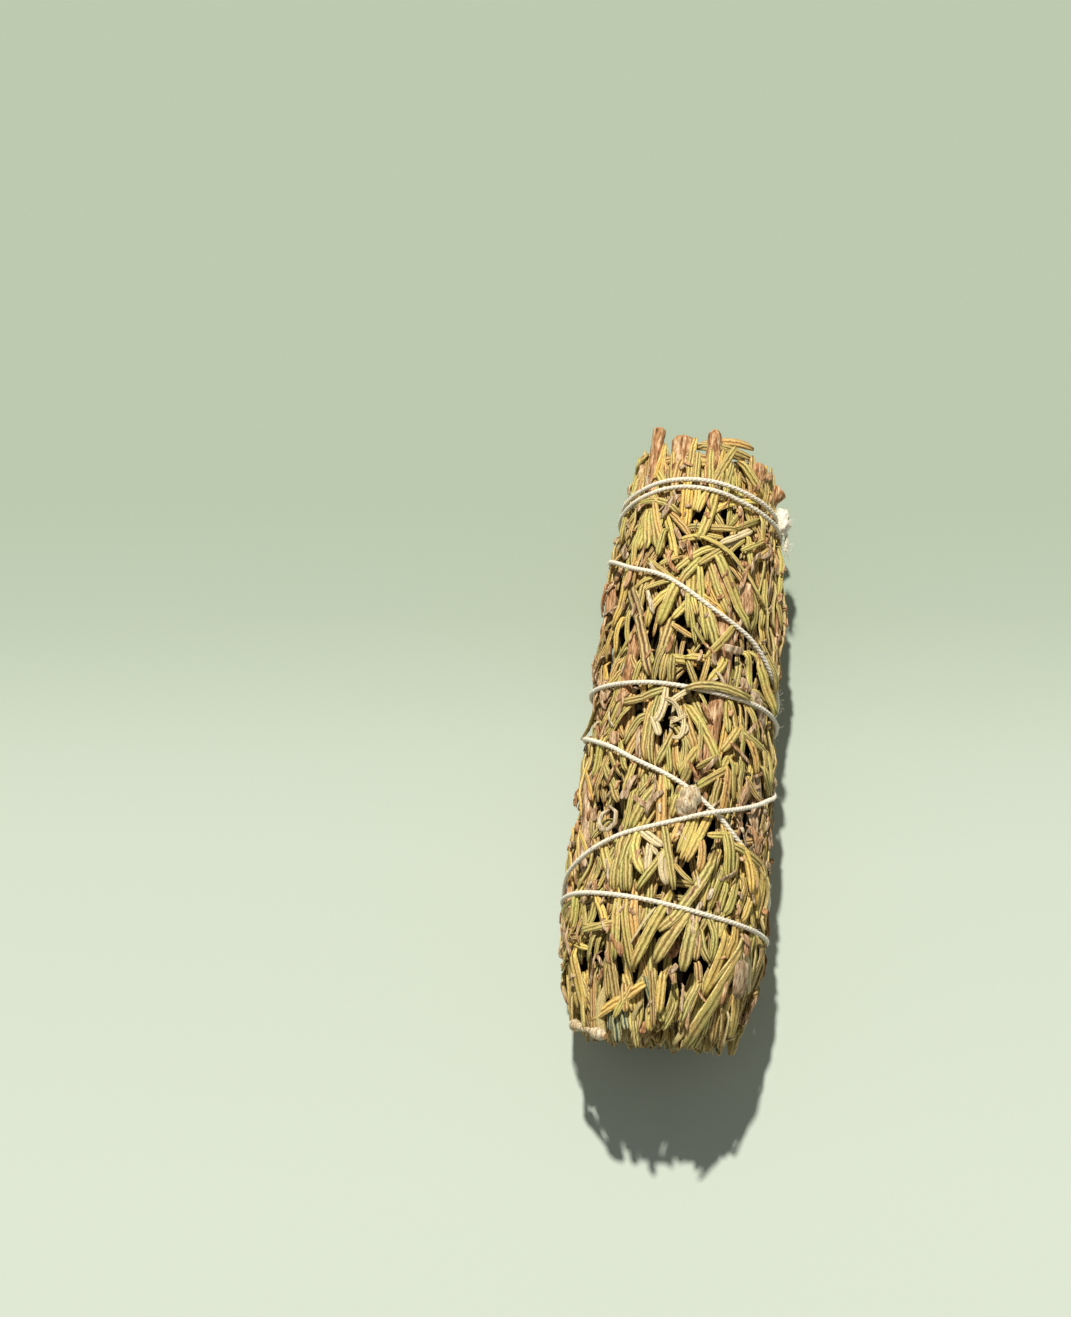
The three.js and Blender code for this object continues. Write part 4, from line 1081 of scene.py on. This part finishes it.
def bark_material():
    """Rosemary bark, dried on the stem: thin, flaking along its length, pink-brown to grey."""
    material, shader, add, link = new_material("rosemary_bark", 0.85, 0.25)
    stretched = add("Mapping", {"Vector": add("TexCoord")["Object"], "Scale": (1, 0.16, 1)})[0]
    streak = add("TexNoise", {"Vector": stretched, "Scale": lumps(0.55), "Detail": 5, "Roughness": 0.65})[0]
    colour = add("ValToRGB", {0: streak}, [
        (0.32, "#62422A"), (0.44, "#A8764A"), (0.54, "#D0A070"), (0.68, "#F0D8AE")])[0]
    kind = add("Attribute", attribute_name="kind")["Vector"]
    weathering, _, sort = add("SeparateXYZ", {0: kind}).values()
    grey = add("ValToRGB", {0: streak}, [(0.32, "#5E4C38"), (0.48, "#B49A78"), (0.66, "#EEDEC0")])[0]
    weathered = add("ValToRGB", {0: weathering}, [(0.25, 0.0), (0.9, 0.85)])[0]
    colour = add("Mix", {0: weathered, 6: colour, 7: grey}, **MIX)[2]
    bleached = add("Math", {0: sort, 1: 1.5}, operation="GREATER_THAN")[0]
    pale = add("ValToRGB", {0: streak}, [(0.32, "#8E7050"), (0.46, "#C8AE86"), (0.62, "#EBDFC0")])[0]
    colour = add("Mix", {0: bleached, 6: colour, 7: pale}, **MIX)[2]
    # Cracks about 0.3 mm apart.
    flakes = add("TexNoise", {"Vector": stretched, "Scale": lumps(0.28), "Detail": 3, "Roughness": 0.5})[0]
    cracks = add("ValToRGB", {0: flakes}, [(0.36, 0.45), (0.48, 1.0)])[0]
    colour = add("Mix", {0: 1.0, 6: colour, 7: cracks}, **MULTIPLY)[2]
    # Cut across, a stem shows pale wood.
    rod_place = add("Attribute", attribute_name="rod_place")["Vector"]
    along = add("SeparateXYZ", {0: rod_place})["Y"]
    end = add("ValToRGB", {0: along}, [(0.985, 0.0), (0.999, 0.8)])[0]
    cut = add("Mix", {0: 1.0, 6: end, 7: sort}, **MULTIPLY)[2]
    colour = add("Mix", {0: cut, 6: colour, 7: linear("#C99C6C")}, **MIX)[2]
    link(colour, shader["Base Color"])
    link(add("Bump", {"Strength": 0.9, "Distance": 0.25 * MM, "Height": streak})[0], shader["Normal"])
    return material


def middle_material():
    """Needles packed in the middle: dark brown to near-black, painted shade for the deep gaps; streaked
    along the bundle.
    """
    material, shader, add, link = new_material("packed_needles_painted_shade", 0.95, 0.1)
    stretched = add("Mapping", {"Vector": add("TexCoord")["Object"], "Scale": (1, 0.12, 1)})[0]
    streak = add("TexNoise", {"Vector": stretched, "Scale": lumps(1.3), "Detail": 4, "Roughness": 0.6})[0]
    link(add("ValToRGB", {0: streak}, [(0.35, "#080604"), (0.5, "#1C150B"), (0.66, "#3E3219")])[0],
         shader["Base Color"])
    link(add("Bump", {"Strength": 1.0, "Distance": 0.8 * MM, "Height": streak})[0], shader["Normal"])
    return material


def cotton_material():
    """Undyed cotton string, loosely twisted: off-white, matt and slightly fuzzy."""
    material, shader, add, link = new_material("undyed_cotton", 0.9, 0.2)
    shader["Sheen Weight"].default_value = 0.25
    spot = add("TexCoord")["Object"]
    fibres = add("TexNoise", {"Vector": spot, "Scale": lumps(0.25), "Detail": 4, "Roughness": 0.7})[0]
    link(add("ValToRGB", {0: fibres}, [(0.3, "#D6CAAE"), (0.5, "#F0E7D2"), (0.7, "#FAF5E8")])[0],
         shader["Base Color"])
    link(add("Bump", {"Strength": 0.6, "Distance": 0.06 * MM, "Height": fibres})[0], shader["Normal"])
    return material


def floor_material(near, far):
    """Matt sage-green card; its paling towards the viewer is painted light."""
    material, shader, add, link = new_material("sage_card", 0.9, 0.15)
    heading = math.radians(CAMERA_HEADING)
    ahead = (math.sin(heading), math.cos(heading), 0)
    away = add("VectorMath", {0: add("TexCoord")["Object"], 1: ahead}, operation="DOT_PRODUCT")["Value"]
    # Painted light: from the darker far colour to the paler near one, along the camera's heading.
    share = add("MapRange", {"Value": away, "From Min": -0.07, "From Max": 0.05})[0]
    share = add("ValToRGB", {0: share}, [
        (0.0, 0.0), (0.44, 0.15), (0.6, 0.32), (0.68, 0.5), (0.82, 0.85), (1.0, 1.0)])[0]
    link(add("Mix", {0: share, 6: near, 7: far}, **MIX)[2], shader["Base Color"])
    return material


# String.


def string_middle(turned):
    """Points of the string's middle, in millimetres, and the way out of the bundle there."""
    angle = np.radians(turned)
    y = route_y(turned)
    lift = np.max([np.exp(-(((turned - at) / 13) ** 2)) for at in STRING_OVER], axis=0) * STRING_LIFT
    return string_place(angle, y, lift)


def string_place(angle, y, lift):
    """Points of a string that lies on the bundle, and the way out of the bundle there."""
    radius = bpy.context.scene.smudge_string.thickness / MM / 2
    down = -np.cos(angle)
    laid = girth(y) - radius + lift
    flat = (axis_height(y) - radius - TABLE_CLEARANCE) / np.maximum(down, 1e-3)
    return place(angle, y, np.minimum(laid, flat)), outward(angle)


def resampled(points, step):
    """Points at an even step along a line."""
    lengths = np.concatenate([[0], np.cumsum(np.linalg.norm(np.diff(points, axis=0), axis=1))])
    at = np.linspace(0, lengths[-1], max(int(lengths[-1] / step), 3))
    return np.stack([np.interp(at, lengths, column) for column in points.T], -1), at


def twisted(points, name, taper=False):
    """Three plies laid round a line of points, as one mesh made from curves."""
    sizes = bpy.context.scene.smudge_string
    thickness, pitch = sizes.thickness / MM, sizes.twist / MM
    line, at = resampled(points, pitch / 7)
    tangent = np.gradient(line, axis=0)
    tangent /= np.linalg.norm(tangent, axis=1, keepdims=True)
    side = np.cross(tangent, np.array([0.13, 0.97, 0.21]))
    side /= np.linalg.norm(side, axis=1, keepdims=True)
    up = np.cross(side, tangent)
    curve = bpy.data.curves.new(name, "CURVE")
    curve.dimensions = "3D"
    curve.bevel_depth = thickness * PLY_RADIUS * MM
    curve.bevel_resolution = 1
    curve.use_fill_caps = True
    for ply in range(PLIES):
        turn = (2 * math.pi * (at / pitch + ply / PLIES))[:, None]
        offset = thickness * PLY_OFFSET
        spots = (line + offset * (side * np.cos(turn) + up * np.sin(turn))) * MM
        spline = curve.splines.new("POLY")
        spline.points.add(len(spots) - 1)
        spline.points.foreach_set("co", np.c_[spots, np.ones(len(spots))].ravel())
        if taper:
            spline.points.foreach_set("radius", np.linspace(1, 0.55, len(spots)))
    piece = new_object(name, curve)
    select_only([piece])
    bpy.ops.object.convert(target="MESH")
    piece = bpy.context.object
    bpy.ops.object.shade_smooth()
    return piece


def knot_line(angle, y, size):
    """An overhand knot, pulled flat on the bundle."""
    turn = np.linspace(0, 2 * math.pi, 90)
    u = (np.sin(turn) + 2 * np.sin(2 * turn)) / 3 * size
    v = (np.cos(turn) - 2 * np.cos(2 * turn)) / 3 * size * 1.2
    w = -np.sin(3 * turn) * 0.38 + 0.42
    angle = math.radians(angle)
    return string_place(angle + u / girth(y), y + v, w)[0]


def frayed_lump(centre):
    """The frayed cotton in the middle of a knot."""
    bpy.ops.object.select_all(action="DESELECT")
    bpy.ops.mesh.primitive_ico_sphere_add(subdivisions=4, radius=1.8 * MM, location=centre * MM)
    bpy.ops.transform.resize(value=(0.8, 1.35, 1.0))
    bpy.ops.object.transform_apply(location=True, rotation=True, scale=True)
    lump = bpy.context.object
    roughen(lump, 0.7, 1.5, 1)
    bpy.ops.object.shade_smooth()
    return lump


def fibre_copies(random, places, master):
    """Fine loose fibres that stand off the string."""
    fibres = []
    for spot, along, out, length in places:
        way = random.normal(0, 1, 3)
        way = along * random.choice([-1, 1]) * 0.9 + out * random.uniform(0.1, 0.9) + way * 0.45
        way /= np.linalg.norm(way)
        curl = random.normal(0, 0.5, 3) * length
        steps = np.linspace(0, 1, 5)[:, None]
        line = spot + way * length * steps + curl * (steps**2 - steps)
        around = np.tile(np.cross(way, along + [0.01, 0.02, 0.03]), (5, 1))
        fibres.append(bent_copy(master, line, around, FIBRE_THICKNESS, FIBRE_THICKNESS, (0.5, 0.5, 0.0)))
    return fibres


# Properties.


LENGTH = {"unit": "LENGTH", "precision": 5}


class NeedleSizes(PropertyGroup):
    needle_width: FloatProperty(
        name="Needle width", description="Width of an average needle", default=1.4 * MM, **LENGTH)
    needle_height: FloatProperty(
        name="Needle thickness", description="Thickness that a needle takes up", default=0.62 * MM, **LENGTH)
    needle_length: FloatProperty(
        name="Needle length", description="Average length of a needle", default=12 * MM, **LENGTH)
    seed: IntProperty(name="Seed", description="Draw of the needles' places", default=11)


class StringSizes(PropertyGroup):
    thickness: FloatProperty(
        name="Thickness", description="Thickness of the string", default=0.84 * MM, **LENGTH)
    twist: FloatProperty(
        name="Twist", description="Length of one turn of its plies", default=2.2 * MM, **LENGTH)


class StageSettings(PropertyGroup):
    # The floor's two colours differ by painted light: the near one is painted paler.
    near_colour: FloatVectorProperty(
        name="Floor, near", description="Colour of the card near the viewer", subtype="COLOR", size=4,
        default=linear("#C3CCBE"))
    far_colour: FloatVectorProperty(
        name="Floor, far", description="Colour of the card behind the stick", subtype="COLOR", size=4,
        default=linear("#A4B19D"))
    sun_strength: FloatProperty(name="Sun", description="Strength of the key light", default=4.2)
    sun_size: FloatProperty(
        name="Sun size", description="Angle the key light fills", subtype="ANGLE",
        default=math.radians(2.2))
    fill_strength: FloatProperty(
        name="Fill", description="Strength of the light from all round", default=0.235)


# Operators.


def finish_piece(parts, node):
    """Joins a sprig's parts in the node's place."""
    whole = joined(parts, f"rosemary_{node}")
    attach(whole, "root")
    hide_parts(node)


def surface_needles(needle, stem, outer, gaps, random, sizes):
    """Lays the bed of needles, with the stems and gaps that show in it, and adds them to their sprigs."""
    bed = NeedleBed()
    shown = shown_needles(random, sizes)
    for item in shown:
        bed.keep_low(item, SHOWN_DEPTH)
    for gap in gaps:
        bed.open_gap(*gap)
    for i, radius, weathering, rows in BARE_STEMS:
        mark_stem(bed, rows, radius)
        outer[i].append(shown_stem(stem, radius, weathering, rows, random))
    laid = lay_surface(bed, random, sizes)
    for item in shown:
        bed.rest(item, lying_on_top=True)
        bed.cover(item)
        if item.kind[2] == BLEACHED:
            # No scrap hides a bleached needle.
            bed.keep_low(item, BED_DEPTH)
    for item in laid + shown + scraps(bed, random, sizes):
        points, out = item.centres()
        height = item.height * NEEDLE_SLIMNESS
        piece = bent_copy(needle, points, out, item.width, height, item.kind, item.slot)
        outer[sprig_at(item.angle[0], item.y[0])].append(piece)


def end_needles(needle, outer, inner, gaps, random, sizes):
    """Closes the leafy end and the cut end, and adds the needles to their sprigs."""
    leafy_disc = {"root_way": 1, "tip_ys": (-53.2, -48.4), "tints": (0.0, 0.6), "greens": 0.15, "slope": 1.5}
    cut_disc = {"root_way": -1, "tip_ys": (45.5, 50.2), "tints": (0.1, 1.0), "greens": 0.02}
    cut_rim = {"root_ys": (39, 43), "tip_ys": (46, 51.5)}
    leafy_rim = {"root_ys": (-45, -40), "tip_ys": (-53, -48.5), "slope": 1.6}
    ends = disc_needles(random, sizes, gaps, 460, 0.3, **leafy_disc)
    ends += disc_needles(random, sizes, gaps, 270, 0.2, **cut_disc)
    ends += rim_needles(random, sizes, gaps, 85, 0.11, **cut_rim)
    ends += rim_needles(random, sizes, gaps, 75, 0.1, **leafy_rim)
    for is_inner, i, line, top, width, height, kind in ends:
        tops = np.tile(top, (len(line), 1))
        piece = bent_copy(needle, line, tops, width, height, kind)
        (inner if is_inner else outer)[i].append(piece)


class SMUDGE_OT_sprigs(Operator):
    """Lay the sprigs: stems, packed middles and needles"""

    bl_idname = "smudge.sprigs"
    bl_label = "Sprigs"

    def execute(self, context):
        sizes = context.scene.smudge_needles
        random = np.random.default_rng(sizes.seed)
        needle, stem = model_needle(), unit_rod(14, 27, "stem")
        tag_surface(stem)
        for material in (needle_material(), bark_material(), middle_material()):
            needle.data.materials.append(material)
            stem.data.materials.append(material)
        outer = [[] for _ in range(OUTER_SPRIGS)]
        inner = [[] for _ in range(INNER_SPRIGS)]
        gaps = list(seen_gaps())
        surface_needles(needle, stem, outer, gaps, random, sizes)
        end_needles(needle, outer, inner, gaps, random, sizes)
        ring_angle, ring_y, _ = RING
        outer[sprig_at(math.radians(ring_angle), ring_y)].append(ring_needle(needle, random))
        for row, depth, tone in ((FLOWER_CUP, 0.2, (0.55, 0.7)), (PALE_TWIG, 1.6, (0.5, 0.95))):
            piece, i = lump(stem, row, depth, random, tone)
            outer[i].append(piece)

        for i in range(OUTER_SPRIGS):
            angles = np.array([(border(i, y) + border(i + 1, y)) / 2 for y in MIDDLE_Y])
            left = girth(MIDDLE_Y) - BED_DEPTH
            widths = (left - 1) * math.pi / OUTER_SPRIGS * 2.25
            core = packed_middle(stem, angles, left - 3.3, widths, 6.4, random)
            outer[i] += [core, sprig_stem(stem, i, random)]
            finish_piece(outer[i], f"sprig_{i + 1:02d}")
        even = np.ones(len(MIDDLE_Y))
        for i in range(INNER_SPRIGS):
            angles = inner_turn(i) * even
            core = packed_middle(stem, angles, INNER_RING_RADIUS * even, 5.4 * even, 5.4, random)
            inner[i] += [core, inner_stem(stem, i, random)]
            finish_piece(inner[i], f"inner_sprig_{i + 1}")
        for master in (needle, stem):
            bpy.data.objects.remove(master)
        return {"FINISHED"}


class SMUDGE_OT_string(Operator):
    """Wind and knot the cotton string"""

    bl_idname = "smudge.string"
    bl_label = "String"

    def execute(self, context):
        random = np.random.default_rng(context.scene.smudge_needles.seed + 1)
        turned = np.arange(STRING_ROUTE[0][0], STRING_ROUTE[-1][0], 0.8)
        wound, out = string_middle(turned)
        parts = [twisted(wound, "string_turns")]
        along = np.gradient(wound, axis=0)
        along /= np.linalg.norm(along, axis=1, keepdims=True)
        hairs = random.integers(0, len(wound) - 1, STRING_FIBRES)
        places = [(wound[k] + out[k] * 0.25, along[k], out[k], random.uniform(0.4, 1.2)) for k in hairs]
        for angle, y, ends in (KNOT, TIE):
            parts.append(twisted(knot_line(angle, y, 1.5), "string_knot"))
            parts.append(twisted(knot_line(angle + 1.5, y - 0.6, 1.05), "string_knot"))
            for rows in ends:
                turns, shifts, lifts = (np.array(column, float) for column in zip(*rows))
                steps = np.linspace(0, len(rows) - 1, 24)
                index = np.arange(len(rows))
                turn, shift, lift = (np.interp(steps, index, values) for values in (turns, shifts, lifts))
                line, way = string_place(np.radians(angle + turn), y + shift, lift)
                parts.append(twisted(line, "string_end", taper=True))
                direction = line[-1] - line[-3]
                direction /= np.linalg.norm(direction)
                for _ in range(END_FIBRES):
                    spot = line[-1] + random.normal(0, 0.22, 3) - direction * random.uniform(0, 1.2)
                    places.append((spot, direction, way[-1] * 0.6, random.uniform(0.8, 2.0)))
            centre, way = string_place(np.array([math.radians(angle)]), np.array([y]), 0.5)
            parts.append(frayed_lump(centre[0]))
            for _ in range(KNOT_FIBRES):
                swerve = random.normal(0, 1, 3)
                swerve /= np.linalg.norm(swerve)
                spot = centre[0] + swerve * [1.0, 1.4, 1.0]
                places.append((spot, swerve, way[0] * 0.6, random.uniform(0.6, 1.6)))
        fibre = unit_rod(3, 3, "fibre")
        tag_surface(fibre)
        parts += fibre_copies(random, places, fibre)
        bpy.data.objects.remove(fibre)
        whole = joined(parts, "cotton_string")
        whole.data.materials.clear()
        whole.data.materials.append(cotton_material())
        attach(whole, "root")
        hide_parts("binding_string")
        return {"FINISHED"}


class SMUDGE_OT_stage(Operator):
    """Set the floor, the light and the camera"""

    bl_idname = "smudge.stage"
    bl_label = "Stage"

    def execute(self, context):
        stage = context.scene.smudge_stage
        bpy.ops.object.select_all(action="DESELECT")
        bpy.ops.mesh.primitive_plane_add(size=3, location=(0, 0, -0.00002))
        bpy.ops.object.transform_apply(location=True)
        floor = context.object
        floor.name = "floor"
        floor.data.materials.append(floor_material(stage.near_colour, stage.far_colour))

        bpy.ops.object.light_add(type="SUN")
        sun = context.object
        sun.data.energy = stage.sun_strength
        sun.data.angle = stage.sun_size
        sun.data.color = KEY_COLOUR
        sun.rotation_euler = Vector(LIGHT_FROM).to_track_quat("Z", "Y").to_euler()

        world = bpy.data.worlds.new("soft_room")
        world.use_nodes = True
        background = world.node_tree.nodes["Background"].inputs
        background["Color"].default_value = FILL_COLOUR
        background["Strength"].default_value = stage.fill_strength
        context.scene.world = world

        right, up, ahead = camera_axes()
        bpy.ops.object.camera_add()
        camera = context.object
        turn = Matrix((right, up, -ahead)).transposed().to_4x4()
        camera.matrix_world = Matrix.Translation(Vector(CAMERA_PLACE) * MM) @ turn
        camera.data.sensor_width = SENSOR_HEIGHT
        camera.data.lens = CAMERA_FOCAL / PHOTO_HEIGHT * SENSOR_HEIGHT
        camera.data.clip_start = 0.01
        context.scene.camera = camera
        context.scene.view_settings.view_transform = "Standard"
        return {"FINISHED"}


class SMUDGE_PT_panel(Panel):
    """Steps that make the smudge stick"""

    bl_label = "Smudge stick"
    bl_space_type = "VIEW_3D"
    bl_region_type = "UI"
    bl_category = "Smudge stick"

    def draw(self, context):
        scene = context.scene
        for group in (scene.smudge_needles, scene.smudge_string, scene.smudge_stage):
            for name in group.__annotations__:
                self.layout.prop(group, name)
        for step in (SMUDGE_OT_stage, SMUDGE_OT_sprigs, SMUDGE_OT_string):
            self.layout.operator(step.bl_idname)


CLASSES = (
    NeedleSizes, StringSizes, StageSettings,
    SMUDGE_OT_stage, SMUDGE_OT_sprigs, SMUDGE_OT_string, SMUDGE_PT_panel,
)


def register():
    for item in CLASSES:
        bpy.utils.register_class(item)
    bpy.types.Scene.smudge_needles = PointerProperty(type=NeedleSizes)
    bpy.types.Scene.smudge_string = PointerProperty(type=StringSizes)
    bpy.types.Scene.smudge_stage = PointerProperty(type=StageSettings)


def unregister():
    del bpy.types.Scene.smudge_stage
    del bpy.types.Scene.smudge_string
    del bpy.types.Scene.smudge_needles
    for item in reversed(CLASSES):
        bpy.utils.unregister_class(item)


def main():
    register()
    bpy.ops.smudge.stage()
    bpy.ops.smudge.sprigs()
    bpy.ops.smudge.string()


if __name__ == "__main__":
    main()
